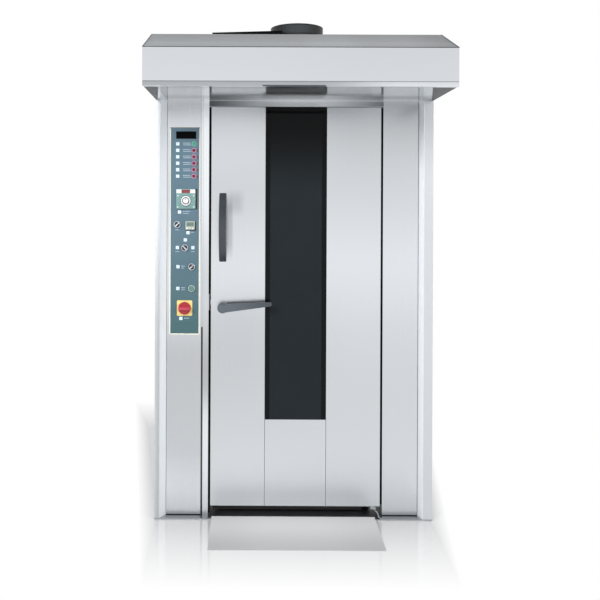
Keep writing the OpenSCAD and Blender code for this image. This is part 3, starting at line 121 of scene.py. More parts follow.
class OvenFinish(bpy.types.PropertyGroup):
    steel_tint: FloatVectorProperty(
        name="Sheet steel", description="Reflected colour of the brushed sheets",
        subtype="COLOR", size=3, min=0, max=1, default=linear(232, 236, 240))
    lining_tint: FloatVectorProperty(
        name="Chamber lining", description="Reflected colour of the chamber's sheets",
        subtype="COLOR", size=3, min=0, max=1, default=linear(190, 188, 182))
    panel_colour: FloatVectorProperty(
        name="Control panel", description="Paint of the control panel",
        subtype="COLOR", size=3, min=0, max=1, default=linear(82, 105, 118))
    handle_colour: FloatVectorProperty(
        name="Handles", description="Colour of the pull handle",
        subtype="COLOR", size=3, min=0, max=1, default=linear(58, 63, 68))
    duct_colour: FloatVectorProperty(
        name="Duct", description="Paint of the flue duct",
        subtype="COLOR", size=3, min=0, max=1, default=linear(52, 56, 59))
    glass_colour: FloatVectorProperty(
        name="Window", description="Tint of the window's panes",
        subtype="COLOR", size=3, min=0, max=1, default=linear(32, 38, 42))
    switch_yellow: FloatVectorProperty(
        name="Switch plate", description="Plate behind the main switch",
        subtype="COLOR", size=3, min=0, max=1, default=linear(240, 212, 132))
    switch_red: FloatVectorProperty(
        name="Main switch", description="Handle of the main switch",
        subtype="COLOR", size=3, min=0, max=1, default=linear(166, 30, 46))
    drive_colour: FloatVectorProperty(
        name="Drives", description="Machine paint of the geared motor and the fan motor",
        subtype="COLOR", size=3, min=0, max=1, default=linear(78, 104, 128))


# Painted reflection and shade: how light the brushed sheets are from the floor (0) to 2 m up (1),
# left and right of the middle, as bands of the studio reflected in them, darker at the top under
# the hood
LEFT_REFLECTION_LEVELS = [(0.0, 0.98), (0.25, 0.76), (0.44, 0.74), (0.54, 1.0),
               (0.64, 0.94), (0.74, 0.80), (0.83, 0.94), (0.94, 0.72)]
RIGHT_REFLECTION_LEVELS = [(0.0, 0.90), (0.25, 0.80), (0.42, 0.86), (0.54, 1.0),
                (0.63, 0.98), (0.76, 0.82), (0.83, 0.80), (0.94, 0.52)]
PLAIN_LEVEL = 0.86

# Grain of brushed sheets: noise scale along X, Y and Z, small along the scratches
UPRIGHT, LEVEL, DEEP = (700.0, 700.0, 7.0), (7.0, 700.0, 700.0), (700.0, 7.0, 700.0)
POLISHED = (120.0, 4.0, 120.0)


# ---------------------------------------------------------------- shader nodes


def feed(tree, socket, value):
    """Links a socket to another one, or gives it a plain value."""
    if isinstance(value, bpy.types.NodeSocket):
        tree.links.new(value, socket)
    else:
        socket.default_value = value


def add_node(tree, kind, values=(), **settings):
    """A new shader node with its settings, and with its inputs fed by their number or name."""
    node = tree.nodes.new("ShaderNode" + kind)
    for key, value in settings.items():
        setattr(node, key, value)
    for key, value in dict(values).items():
        feed(tree, node.inputs[key], value)
    return node


def calc(tree, operation, *values):
    return add_node(tree, "Math", enumerate(values), operation=operation).outputs[0]


def scaled(tree, colour, factor):
    """A colour or vector times a factor."""
    return add_node(tree, "VectorMath", {0: colour, "Scale": factor}, operation="SCALE").outputs[0]


def ranged(tree, value, start, end, low=0.0, high=1.0, kind="SMOOTHSTEP"):
    """Takes a value from the range start to end over to the range low to high."""
    values = {"Value": value, "From Min": start, "From Max": end, "To Min": low, "To Max": high}
    return add_node(tree, "MapRange", values, interpolation_type=kind).outputs["Result"]


def mixed(tree, factor, a, b, kind="RGBA"):
    values = {"Factor": factor, "A": a, "B": b}
    return add_node(tree, "Mix", values, data_type=kind).outputs["Result"]


def own_place(tree):
    """The point in the piece's own coordinates."""
    return add_node(tree, "TexCoord").outputs["Object"]


def own_axes(tree):
    return add_node(tree, "SeparateXYZ", {0: own_place(tree)}).outputs


def noise(tree, place, scale, detail=2.0, rough=0.5):
    values = {"Vector": place, "Scale": scale, "Detail": detail, "Roughness": rough}
    return add_node(tree, "TexNoise", values).outputs["Fac"]


def relief(tree, height, strength, distance):
    values = {"Height": height, "Strength": strength, "Distance": distance}
    return add_node(tree, "Bump", values).outputs["Normal"]


def ramp(tree, value, stops, kind="LINEAR"):
    """A colour ramp; the first and last stop are the ramp's own two."""
    node = add_node(tree, "ValToRGB", {"Fac": value})
    node.color_ramp.interpolation = kind
    ends = node.color_ramp.elements
    for stop, (where, colour) in ((ends[0], stops[0]), (ends[1], stops[-1])):
        stop.position, stop.color = where, (*colour, 1)
    for where, colour in stops[1:-1]:
        ends.new(where).color = (*colour, 1)
    return node.outputs["Color"]


def seen_rays(tree):
    """One for rays that show a surface: from the camera, mirrored or through glass."""
    rays = add_node(tree, "LightPath").outputs
    mirrored = calc(tree, "MAXIMUM", rays["Is Camera Ray"], rays["Is Glossy Ray"])
    return calc(tree, "MAXIMUM", mirrored, rays["Is Transmission Ray"]), rays["Is Camera Ray"]


# ---------------------------------------------------------------- shader node groups


def new_group(name, inputs, outputs):
    """A shader group whose sockets are given as name, kind and, for an input, its value."""
    tree = bpy.data.node_groups.new(name, "ShaderNodeTree")
    for way, rows in (("INPUT", inputs), ("OUTPUT", outputs)):
        for label, kind, *value in rows:
            kind = "NodeSocket" + kind
            socket = tree.interface.new_socket(name=label, in_out=way, socket_type=kind)
            if value:
                socket.default_value = value[0]
    inlet, outlet = tree.nodes.new("NodeGroupInput"), tree.nodes.new("NodeGroupOutput")
    return tree, inlet.outputs, outlet.inputs


def grain_group():
    """Fine parallel scratches: noise on object coordinates squeezed across the grain and drawn
    out along it, in two sizes. Puts out a value between 0 and 1."""
    tree, inlet, outlet = new_group(
        "Brushed grain", [("Stretch", "Vector", (900.0, 900.0, 9.0))], [("Streaks", "Float")])
    values = {0: own_place(tree), 1: inlet["Stretch"]}
    drawn = add_node(tree, "VectorMath", values, operation="MULTIPLY").outputs[0]
    fine, coarse = noise(tree, drawn, 1.0), noise(tree, scaled(tree, drawn, 0.16), 1.0)
    feed(tree, outlet["Streaks"], mixed(tree, 0.35, fine, coarse, "FLOAT"))
    return tree


def painted_reflection_group():
    """Painted reflection and shade: soft bands of lighter and darker sheet by height, as a tall
    sheet reflects the studio between floor and ceiling, darker at the top under the hood: one
    run of levels for the left of the oven and one for the right, blended across the width and
    broken up by wide noise. Puts out a factor for the sheet's colour."""
    tree, inlet, outlet = new_group(
        "Painted reflection by height", [("Strength", "Float", 1.0)], [("Tone", "Float")])
    axes = own_axes(tree)
    drift = calc(tree, "MULTIPLY_ADD", noise(tree, own_place(tree), 1.7, 1.0), 0.12, axes["Z"])
    height = ranged(tree, drift, 0.06, 2.06, kind="LINEAR")
    left, right = (
        ramp(tree, height, [(where, (level,) * 3) for where, level in levels], "B_SPLINE")
        for levels in (LEFT_REFLECTION_LEVELS, RIGHT_REFLECTION_LEVELS))
    sides = mixed(tree, ranged(tree, axes["X"], -0.25, 0.30), left, right)
    plain = (PLAIN_LEVEL, PLAIN_LEVEL, PLAIN_LEVEL, 1)
    feed(tree, outlet["Tone"], mixed(tree, inlet["Strength"], plain, sides))
    return tree


def mottle_group():
    """Cloudy colour change between two tints from layered noise, for paint, castings and scale."""
    tree, inlet, outlet = new_group(
        "Mottle",
        [("Dark", "Color", (0.1, 0.1, 0.1, 1)), ("Light", "Color", (0.2, 0.2, 0.2, 1)),
         ("Size", "Float", 20.0)],
        [("Color", "Color"), ("Mask", "Float")])
    cloud = noise(tree, own_place(tree), inlet["Size"], 5.0, 0.6)
    feed(tree, outlet["Color"], mixed(tree, cloud, inlet["Dark"], inlet["Light"]))
    feed(tree, outlet["Mask"], cloud)
    return tree


GROUPS = {}


def group_outputs(tree, maker, **values):
    """Outputs of a shader group with its inputs fed; each group is built once."""
    if maker not in GROUPS:
        GROUPS[maker] = maker()
    return add_node(tree, "Group", values, node_tree=GROUPS[maker]).outputs


def mottle(tree, dark, light, size):
    return group_outputs(tree, mottle_group, Dark=(*dark, 1), Light=(*light, 1), Size=size)


# ---------------------------------------------------------------- materials


def shade_table():
    """Lighter and darker places by finish, nearly all of them painted light and shade. A row
    multiplies the sheet's level by its first number, going to its second where every mask is
    one. A mask is a soft step from 0 to 1 between two places along an axis, or by the distance
    from a third place."""
    hood_top = node_box("hood_shell")[1][2]
    fold = hood_top - 0.112
    slope = ("Z", fold - 0.004, fold + 0.004)
    (_, ramp_front, _), (ramp_side, ramp_back, _) = node_box("ramp")
    (_, _, grip_low), (grip_edge, _, grip_high) = node_box("pull_handle")
    lever_low, lever_high = (corner[0] for corner in node_box("latch_lever"))
    duct_x, duct_top = node_centre("flue_duct")[0], node_box("flue_duct")[1][2]
    panel_top = node_box("control_panel")[1][2]
    return {
        # Under the hood: painted shade on the left and towards the front left, a painted reflection
        # of the right cover on the right, a painted reflection of the dark window, and painted
        # shade in a band near the back
        "polished sheet": [
            (0.80, 0.96, ("X", -0.15, 0.20)),
            (1.0, 1.50, ("X", 0.26, 0.40)),
            (1.0, 0.70, ("Y", -0.80, -0.88), ("X", 0.20, -0.10)),
            (1.0, 0.18, ("X", 0.142, 0.126, -0.012), ("Y", -0.78, -0.70), ("Y", -0.50, -0.58)),
            (1.0, 0.60, ("Y", 0.09, 0.02, -0.585))],
        # Over the door: painted shade towards the two ends
        "head strip": [(1.0, 0.15, ("X", 0.05, 0.46, 0.04))],
        # The hood's hem: painted shade, darker on the left and in the middle
        "hem sheet": [(0.62, 1.0, ("X", 0.05, 0.42))],
        # The hood's slope: painted reflection, lighter at its foot with one light streak, and
        # painted shade towards its top and at the right
        "level sheet": [
            (1.0, 1.08, slope),
            (1.0, 0.76, ("Z", fold + 0.02, hood_top)),
            (1.0, 1.12, slope, ("X", 0.15, 0.04, 0.13)),
            (1.0, 0.74, slope, ("X", 0.42, 0.60))],
        # The jamb: painted light and shade, lighter at its top, with painted shade in a stretch
        # below the middle
        "jamb sheet": [
            (0.78, 1.06, ("Z", 0.02, 0.30, 0.68)),
            (1.0, 1.20, ("Z", 0.60, 0.45)),
            (0.84, 1.14, ("Z", 1.05, 1.50))],
        # The left cover: painted shade below the control panel
        "column sheet": [(0.86, 1.06, ("Z", 0.20, 0.42, 0.52))],
        # The posts: painted highlight on the folded facets and painted shade on the fronts; the
        # left front has more painted shade towards the fold and the foot
        "left post": [
            (1.18, 0.80, ("X", 0.600, 0.606, 0.0)),
            (1.0, 1.26, ("X", 0.606, 0.624, 0.0)),
            (1.0, 0.62, ("X", 0.602, 0.607, 0.0), ("Z", 1.55, 0.72))],
        "right post": [(1.18, 0.68, ("X", 0.580, 0.586))],
        # The ramp: painted shade, darker towards its front edge and its two ends
        "ramp plate": [
            (0.72, 0.96, ("Y", ramp_front, ramp_back - 0.08)),
            (1.0, 0.90, ("X", 0.08, ramp_side, 0.0))],
        # The left door skin: a lens-shaped painted shadow and reflection of the pull handle beside
        # it, and a softer painted shadow falling right from the handle's top
        "handle skin": [
            (1.0, 0.76, ("X", 0.020, 0.008, grip_edge + 0.014),
             ("Z", 0.165, 0.07, (grip_low + grip_high) / 2)),
            (1.0, 0.80, ("X", 0.060, 0.012, grip_edge + 0.035),
             ("Z", 0.075, 0.012, grip_high - 0.045))],
        # The lever: lighter at its hub, darker towards its tip
        "lever grey": [(1.34, 0.80, ("X", lever_low + 0.03, lever_high))],
        # The duct: painted light and shade across its round form, lighter in the middle and darker
        # towards its sides, with a black rim
        "duct paint": [
            (1.15, 0.08, ("X", 0.0, 0.120, duct_x)),
            (1.0, 0.30, ("Z", duct_top - 0.010, duct_top - 0.004))],
        # The panel's rim: bright cream below, with painted shade higher up and a painted shadow
        # along its top
        "panel rim": [
            (1.10, 0.86, ("Z", 1.25, 1.60)),
            (1.0, 0.30, ("Z", panel_top - 0.004, panel_top + 0.001))],
    }


SHADES = shade_table()


def shaded(tree, level, low, high, masks):
    """A level after one row of the shade table."""
    axes = own_axes(tree)
    mask = 1.0
    for axis, start, end, *centre in masks:
        value = axes[axis]
        if centre:
            value = calc(tree, "ABSOLUTE", calc(tree, "SUBTRACT", value, centre[0]))
        mask = calc(tree, "MULTIPLY", mask, ranged(tree, value, start, end))
    return calc(tree, "MULTIPLY", level, calc(tree, "MULTIPLY_ADD", mask, high - low, low))


def new_material(name):
    material = bpy.data.materials.new(name)
    material.use_nodes = True
    return material, material.node_tree


def feed_shader(tree, values):
    """Feeds the material's Principled shader."""
    for key, value in values.items():
        feed(tree, tree.nodes["Principled BSDF"].inputs[key], value)


def brushed_steel(name, tint, grain, rough=0.26, bands=1.0, metal=1.0, spread=0.08, bump=0.05,
                  streaks=(0.965, 1.02)):
    """Brushed sheet: metal whose roughness and height follow the grain and whose colour
    carries soft bands of painted reflection and shade by height, and the lighter and darker
    places of its rows in the shade table. metal below 1 gives a blasted, half matt sheet."""
    material, tree = new_material(name)
    scratch = group_outputs(tree, grain_group, Stretch=grain)["Streaks"]
    tone = group_outputs(tree, painted_reflection_group, Strength=bands)["Tone"]
    level = calc(tree, "MULTIPLY", tone, ranged(tree, scratch, 0.0, 1.0, *streaks, "LINEAR"))
    for low, high, *masks in SHADES.get(name, ()):
        level = shaded(tree, level, low, high, masks)
    half = spread / 2
    feed_shader(tree, {
        "Metallic": metal,
        "Base Color": scaled(tree, tint, level),
        "Roughness": ranged(tree, scratch, 0.0, 1.0, rough - half, rough + half, "LINEAR"),
        "Normal": relief(tree, scratch, bump, 0.0002)})
    return material


def mottled(name, dark, light, size=25.0, rough=0.45, metal=0.0, bump=0.1, coat=0.0,
            depth=0.0004, gloss=0.5):
    """Paint, moulded plastic, rubber or casting: cloudy colour, and a fine relief."""
    material, tree = new_material(name)
    cloud = mottle(tree, dark, light, size)
    low, high = max(rough - 0.08, 0.02), rough + 0.08
    feed_shader(tree, {
        "Metallic": metal,
        "Coat Weight": coat,
        "Coat Roughness": 0.12,
        "Specular IOR Level": gloss,
        "Base Color": cloud["Color"],
        "Roughness": ranged(tree, cloud["Mask"], 0.0, 1.0, low, high, "LINEAR"),
        "Normal": relief(tree, noise(tree, own_place(tree), size * 22), bump, depth)})
    return material


def plastic(name, colour, rough=0.32, coat=0.3):
    tints = shade(colour, 0.88), shade(colour, 1.08)
    return mottled(name, *tints, 60.0, rough, 0.0, 0.06, coat, 0.0001)


def tinted_glass(name, colour):
    """Dark window glass: nearly black, with a printed border that is darker than the middle and
    a faint green-grey cloud, partly the dim chamber behind it and partly a painted reflection,
    that fades into painted shade towards the top."""
    material, tree = new_material(name)
    (left, _, _), (right, _, top) = node_box("window_glass")
    axes, half = own_axes(tree), (right - left) / 2
    away = calc(tree, "ABSOLUTE", calc(tree, "SUBTRACT", axes["X"], (left + right) / 2))
    border = ranged(tree, away, half - 0.026, half - 0.018)
    cloud = mottle(tree, shade(colour, 0.80), shade(colour, 1.20), 3.5)["Color"]
    pane = mixed(tree, border, cloud, (*shade(colour, 0.25), 1))
    # Painted shade towards the top of the pane
    upper = ranged(tree, axes["Z"], top - 0.42, top - 0.05, 1.0, 0.14)
    feed_shader(tree, {
        "Base Color": scaled(tree, pane, upper),
        "Roughness": 0.06,
        "Specular IOR Level": 0.06,
        "Transmission Weight": 0.12})
    return material


def lamp_lens_material(name, first, others, split_z):
    """Translucent lenses: the upper one green, the ones under it deep pink-red, by height."""
    material, tree = new_material(name)
    upper = calc(tree, "GREATER_THAN", own_axes(tree)["Z"], split_z)
    facets = add_node(tree, "TexVoronoi", {"Vector": own_place(tree), "Scale": 700.0})
    feed_shader(tree, {
        "Base Color": mixed(tree, upper, (*others, 1), (*first, 1)),
        "Roughness": 0.18,
        "Coat Weight": 0.6,
        "Normal": relief(tree, facets.outputs["Distance"], 0.35, 0.0006)})
    return material


def panel_paint(name, colour):
    """Painted panel: an even satin that darkens towards its lower end, with painted shade at its
    top under the hood.
    """
    material, tree = new_material(name)
    (_, _, foot), (_, _, top) = node_box("control_panel")
    height = own_axes(tree)["Z"]
    rise = ranged(tree, height, foot, foot + 0.45, kind="LINEAR")
    lower_tint = (colour[0] * 0.50, colour[1] * 0.72, colour[2] * 0.62, 1)
    cloud = mottle(tree, shade(colour, 0.9), shade(colour, 1.12), 9.0)["Color"]
    # Painted shade under the hood: lighter just below the top, darker at the top
    head = ranged(tree, height, top - 0.10, top, 1.12, 0.92, "LINEAR")
    feed_shader(tree, {
        "Base Color": scaled(tree, mixed(tree, rise, lower_tint, cloud), head),
        "Roughness": 0.38,
        "Normal": relief(tree, noise(tree, own_place(tree), 900.0), 0.08, 0.0002)})
    return material


def finish_rows():
    """Makers of materials, each with the finishes it makes and what it takes for them."""
    look = bpy.context.scene.oven_finish
    steel, lining = tuple(look.steel_tint), tuple(look.lining_tint)
    handle, drive = tuple(look.handle_colour), tuple(look.drive_colour)
    # Most sheets are the one steel tint made lighter or darker part by part, as painted light and
    # shade: the hood, hem, jamb, posts, left cover and ramp lighter, the head strip darker
    # Tint, grain, roughness, strength of the painted reflection bands, metal; spread, relief and
    # streaks of the grain
    sheets = {
        "upright sheet": (steel, UPRIGHT),
        "handle skin": (steel, UPRIGHT),
        "level sheet": (shade(steel, 1.12), LEVEL, 0.26, 0.15),
        "column sheet": (shade(steel, 1.02), UPRIGHT, 0.26, 0.55),
        "jamb sheet": (shade(steel, 1.12), UPRIGHT, 0.26, 0.1),
        "roof sheet": (shade(steel, 0.9), DEEP, 0.34, 0.1),
        "polished sheet": (shade(steel, 1.02), POLISHED, 0.12, 0.0, 0.70, 0.12, 0.06, (0.62, 1.24)),
        "left post": (shade(steel, 1.15), UPRIGHT, 0.35, 0.0, 0.08),
        "right post": (shade(steel, 1.15), UPRIGHT, 0.35, 0.0, 0.08),
        "panel rim": (linear(250, 246, 230), LEVEL, 0.5, 0.0, 0.0),
        "ramp plate": (shade(steel, 1.25), LEVEL, 0.5, 0.0, 0.15),
        "head strip": (shade(steel, 0.92), LEVEL, 0.24, 0.0),
        "hem sheet": (shade(steel, 1.12), LEVEL, 0.24, 0.0),
        "base plate": (shade(steel, 0.8), LEVEL, 0.4, 0.0),
        "lining sheet": (lining, UPRIGHT, 0.32, 0.4),
        "machined steel": (shade(steel, 0.8), LEVEL, 0.22, 0.0),
        "bright ring": (shade(steel, 1.05), LEVEL, 0.10, 0.0, 1.0, 0.04, 0.02),
        "carrier steel": (shade(lining, 0.9), DEEP, 0.3, 0.0),
        "lever grey": (shade(handle, 2.5), LEVEL, 0.36, 0.0, 0.5),
        "duct paint": (tuple(look.duct_colour), UPRIGHT, 0.42, 0.0, 0.1),
    }
    # Dark and light tint, size of the clouds, roughness, metal, relief; coat, depth and gloss
    paints = {
        "dark sheet": (linear(52, 54, 58), linear(84, 87, 92), 20.0, 0.5, 0.2, 0.1),
        "satin ring": (linear(214, 218, 224), linear(240, 242, 246), 60.0, 0.3, 0.35, 0.05,
                       0.0, 0.0001),
        "handle grey": (shade(handle, 0.8), shade(handle, 1.25), 30.0, 0.34, 0.25, 0.12,
                        0.25, 0.0001),
        "cover paint": (linear(4, 4, 5), linear(14, 15, 16), 9.0, 0.7, 0.0, 0.1,
                        0.0, 0.0004, 0.06),
        "lamp glass": (linear(225, 222, 205), linear(250, 248, 236), 40.0, 0.25, 0.0, 0.3, 0.6),
        "blank plate": (linear(2, 2, 3), linear(6, 6, 8), 40.0, 0.75, 0.0, 0.05,
                        0.0, 0.0001, 0.08),
        "gap rubber": (linear(4, 4, 5), linear(12, 12, 13), 30.0, 0.8, 0.0, 0.2,
                       0.0, 0.0004, 0.1),
        "rubber": (linear(28, 27, 28), linear(52, 50, 50), 30.0, 0.7, 0.0, 0.25),
        "mineral wool": (linear(150, 132, 82), linear(214, 196, 140), 60.0, 0.95, 0.0, 1.0,
                         0.0, 0.002),
        "drive paint": (shade(drive, 0.75), shade(drive, 1.2), 14.0, 0.45, 0.0, 0.3),
        "iron casting": (linear(58, 60, 62), linear(96, 98, 100), 30.0, 0.6, 0.5, 0.6),
        "scaled iron": (linear(58, 40, 30), linear(122, 84, 58), 26.0, 0.8, 0.3, 0.8,
                        0.0, 0.001),
        "heated tube": (linear(60, 50, 46), linear(128, 104, 86), 18.0, 0.4, 0.8, 0.2),
    }
    # Colour, roughness, coat
    plastics = {
        "switch yellow": (tuple(look.switch_yellow), 0.4, 0.1),
        "switch red": (tuple(look.switch_red), 0.3, 0.4),
        # The switch's grip: the handle's red made lighter, a painted highlight
        "switch grip": (linear(190, 62, 82), 0.35, 0.3),
        "knob black": (linear(20, 21, 24), 0.28, 0.4),
        "white plastic": (linear(226, 228, 227), 0.35, 0.2),
        "key white": (linear(232, 233, 226), 0.4, 0.1),
        "mark white": (linear(214, 228, 238), 0.45, 0.0),
        "mark pale": (linear(160, 180, 192), 0.5, 0.0),
        "mark dark": (linear(60, 74, 84), 0.5, 0.0),
        "lamp mark": (linear(96, 26, 44), 0.5, 0.0),
        "controller green": (linear(118, 154, 150), 0.35, 0.1),
        "display red": (linear(128, 44, 56), 0.15, 0.6),
        "timer case": (linear(176, 186, 176), 0.4, 0.1),
        "timer display": (linear(112, 134, 122), 0.15, 0.5),
        "button green": (linear(88, 130, 116), 0.25, 0.4),
    }
    return ((brushed_steel, sheets), (mottled, paints), (plastic, plastics),
            (panel_paint, {"panel paint": (tuple(look.panel_colour),)}),
            (tinted_glass, {"window glass": (tuple(look.glass_colour),)}))


MATERIALS = {}


def finish_named(name):
    """The material of that name, made on first use from the colours in the panel."""
    if name not in MATERIALS:
        maker, rows = next(pair for pair in finish_rows() if name in pair[1])
        MATERIALS[name] = maker(name, *rows[name])
    return MATERIALS[name]


def dress(obj, finish):
    """Gives an object one material, in every slot it has."""
    slots = obj.data.materials
    if len(slots) == 0:
        slots.append(finish_named(finish))
    for i in range(len(slots)):
        slots[i] = finish_named(finish)


def dress_nodes(finish, *names):
    for name in names:
        dress(frame["nodes"][name], finish)


# ---------------------------------------------------------------- surfaces


def put_in_scene(name, mesh, finish, body, replaced=()):
    """Makes the object of a mesh, dresses it and lets it ride on its body."""
    obj = bpy.data.objects.new(name, mesh)
    bpy.context.scene.collection.objects.link(obj)
    dress(obj, finish)
    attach(obj, body)
    if replaced:
        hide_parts(*replaced)
    return obj


def mark_sharp(work, degrees):
    """Shades every face smooth and marks the edges sharp past an angle."""
    for face in work.faces:
        face.smooth = True
    for edge in work.edges:
        if len(edge.link_faces) == 2:
            edge.smooth = edge.calc_face_angle(0.0) < math.radians(degrees)


def mesh_of_grids(name, grids):
    """One mesh from a list of point grids (rows, columns, 3), each closed round its columns.
    Seams and poles are merged and the faces turned outwards."""
    points, faces, count = [], [], 0
    for grid in grids:
        rows, columns = grid.shape[:2]
        r, c = np.meshgrid(np.arange(rows - 1), np.arange(columns), indexing="ij")
        after = (c + 1) % columns
        quads = [r * columns + c, r * columns + after,
                 (r + 1) * columns + after, (r + 1) * columns + c]
        points.append(grid.reshape(-1, 3))
        faces.append(np.stack(quads, -1).reshape(-1, 4) + count)
        count += rows * columns
    mesh = bpy.data.meshes.new(name)
    mesh.from_pydata(np.concatenate(points).tolist(), [], np.concatenate(faces).tolist())
    work = bmesh.new()
    work.from_mesh(mesh)
    bmesh.ops.remove_doubles(work, verts=work.verts, dist=1e-6)
    bmesh.ops.recalc_face_normals(work, faces=work.faces)
    mark_sharp(work, 32.0)
    work.to_mesh(mesh)
    work.free()
    return mesh


def piece(name, grids, finish, body="cabinet", *replaced):
    """A piece made of point grids, riding on its body and standing for the replaced nodes."""
    return put_in_scene(name, mesh_of_grids(name, grids), finish, body, replaced)


def profile(*numbers):
    """Pairs of radius and depth along Y from pairs in millimetres: the radius, and how far the
    form stands out there towards the viewer."""
    return np.array(numbers, float).reshape(-1, 2) * (0.001, -0.001)


def turned(centre, outline, axis="Y", steps=48, wave=0.0, waves=0):
    """A turned form: the outline's radius and height are carried round the axis,
    point = centre + r(t) (1 + wave cos(waves a)) (cos a, sin a) across the axis + h(t) along it."""
    outline = np.array(outline, float)
    angle = np.linspace(0, 2 * np.pi, steps, endpoint=False)
    radius = outline[:, 0:1] * (1 + wave * np.cos(waves * angle))[None, :]
    height = np.repeat(outline[:, 1:2], steps, 1)
    a, b = radius * np.cos(angle), radius * np.sin(angle)
    order = {"Y": (a, height, b), "X": (height, a, b)}[axis]
    return np.stack(order, -1) + np.array(centre, float)


def pillow(centre, half_w, half_h, corner, section, turn=0.0, steps=6):
    """A plate seen from the front: a rectangle with round corners whose outline shrinks by the
    section's inset while it moves by the section's depth along Y; the last row closes on the
    middle. turn rotates it about Y, in degrees, clockwise from the front."""
    quarter = np.linspace(0, np.pi / 2, steps)
    angle = np.concatenate([quarter + k * np.pi / 2 for k in range(4)])
    sign_x = np.repeat([1, -1, -1, 1], steps)
    sign_z = np.repeat([1, 1, -1, -1], steps)
    rows = []
    for inset, depth in section:
        w, h = max(half_w - inset, 0.0), max(half_h - inset, 0.0)
        round_r = min(max(corner - inset, 0.00001), w, h)
        x = sign_x * (w - round_r) + round_r * np.cos(angle)
        z = sign_z * (h - round_r) + round_r * np.sin(angle)
        rows.append(np.stack([x, np.full_like(x, depth), z], -1))
    grid = np.stack(rows)
    t = math.radians(turn)
    x, z = grid[..., 0].copy(), grid[..., 2].copy()
    grid[..., 0] = x * math.cos(t) + z * math.sin(t)
    grid[..., 2] = z * math.cos(t) - x * math.sin(t)
    return grid + np.array(centre, float)


def plate(centre, half_w, half_h, corner, thick, edge, turn=0.0, steps=6, inset=None):
    """A pillow that stands proud by thick, with its edge rounded by edge. It closes where its
    outline has shrunk by inset, or else by its smaller half size."""
    inset = inset or min(half_w, half_h)
    rim = [(edge * (1 - math.cos(a)), -thick + edge * (1 - math.sin(a)))
           for a in np.linspace(0, np.pi / 2, 4)]
    section = [(inset, 0.0), (0.0, 0.0), *rim, (inset, -thick)]
    return pillow(centre, half_w, half_h, corner, section, turn, steps)


def bar(start, end, half_a, half_b, steps=12):
    """A straight bead with an oval section, from start to end along X, Y or Z: its section's
    half sizes are half_a and half_b across the run, in the order of the other two axes."""
    start, end = np.array(start, float), np.array(end, float)
    along = int(np.argmax(np.abs(end - start)))
    first, second = [i for i in range(3) if i != along]
    angle = np.linspace(0, 2 * np.pi, steps, endpoint=False)
    rows = []
    for point, size in ((start, 0.0), (start, 1.0), (end, 1.0), (end, 0.0)):
        row = np.tile(point, (steps, 1))
        row[:, first] += size * half_a * np.sign(np.cos(angle)) * np.abs(np.cos(angle)) ** 0.6
        row[:, second] += size * half_b * np.sign(np.sin(angle)) * np.abs(np.sin(angle)) ** 0.6
        rows.append(row)
    return np.stack(rows)


def level_bar(x0, x1, y, z, half_y, half_z):
    return bar((x0, y, z), (x1, y, z), half_y, half_z)


def upright_bar(x, y, z0, z1, half_x, half_y):
    return bar((x, y, z0), (x, y, z1), half_x, half_y)


def rod(start, end, radius, steps=10):
    """A straight round rod from start to end: start + t (end - start), with a circle across it."""
    start, end = np.array(start, float), np.array(end, float)
    along = (end - start) / np.linalg.norm(end - start)
    across = np.cross(along, (0.0, 0.6, 0.8) if abs(along[0]) > 0.5 else (1.0, 0.0, 0.0))
    across /= np.linalg.norm(across)
    up = np.cross(along, across)
    angle = np.linspace(0, 2 * np.pi, steps, endpoint=False)[:, None]
    ring = radius * (np.cos(angle) * across + np.sin(angle) * up)
    return np.stack([point + size * ring
                     for point, size in ((start, 0.0), (start, 1.0), (end, 1.0), (end, 0.0))])


def slab(corners, z0, z1):
    """A flat plate between two heights whose outline is a convex list of corners (x, y)."""
    outline = np.array(corners, float)
    middle = np.tile(outline.mean(0), (len(outline), 1))
    return np.stack([np.column_stack([flat, np.full(len(outline), z)])
                     for flat, z in ((middle, z0), (outline, z0), (outline, z1), (middle, z1))])


def softened(node, width, finish, segments=2):
    """A copy of a CAD node whose loose triangles are merged, whose flat faces are joined and
    whose sharp edges are rounded. It stands for the node."""
    source = frame["nodes"][node]
    raw = source.data
    points = np.empty(len(raw.vertices) * 3)
    raw.vertices.foreach_get("co", points)
    mesh = bpy.data.meshes.new(node + "_soft")
    mesh.from_pydata(points.reshape(-1, 3).tolist(), [], [list(p.vertices) for p in raw.polygons])
    work = bmesh.new()
    work.from_mesh(mesh)
    bmesh.ops.remove_doubles(work, verts=work.verts, dist=2e-6)
    bmesh.ops.dissolve_limit(
        work, angle_limit=math.radians(0.4), verts=work.verts, edges=work.edges)
    mark_sharp(work, 30)
    work.to_mesh(mesh)
    work.free()
    obj = put_in_scene(node + "_soft", mesh, finish, source["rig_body"], (node,))
    bevel = obj.modifiers.new("Edges", "BEVEL")
    bevel.width = width
    bevel.segments = segments
    bevel.limit_method = "ANGLE"
    bevel.angle_limit = math.radians(40.0)
    bevel.use_clamp_overlap = True
    bevel.harden_normals = True


# ---------------------------------------------------------------- the builders


def head_strip():
    """A thin folded strip on the header over the door, with a rolled lower edge."""
    left, front, _ = node_box("door_surround")[0]
    left, right = left + 0.0262, node_box("right_column_cover")[0][0] - 0.0006
    foot, top = 1.8665, node_box("hood_underside")[1][2] - 0.0026
    roll, back = 0.0011, front - 0.0008
    lip = [(front - 0.0016 + roll * math.cos(a), foot + roll - roll * math.sin(a))
           for a in np.linspace(0, np.pi, 9)]
    section = np.array([(front, top), (front, foot + 0.001), *lip,
                        (back, foot + 0.002), (back, top)])
    middle = section.mean(0)
    rows = [np.column_stack([np.full(len(section), x), middle + size * (section - middle)])
            for size, x in ((0.0, left), (1.0, left), (1.0, right), (0.0, right))]
    piece("head_strip", [np.stack(rows)], "head strip")


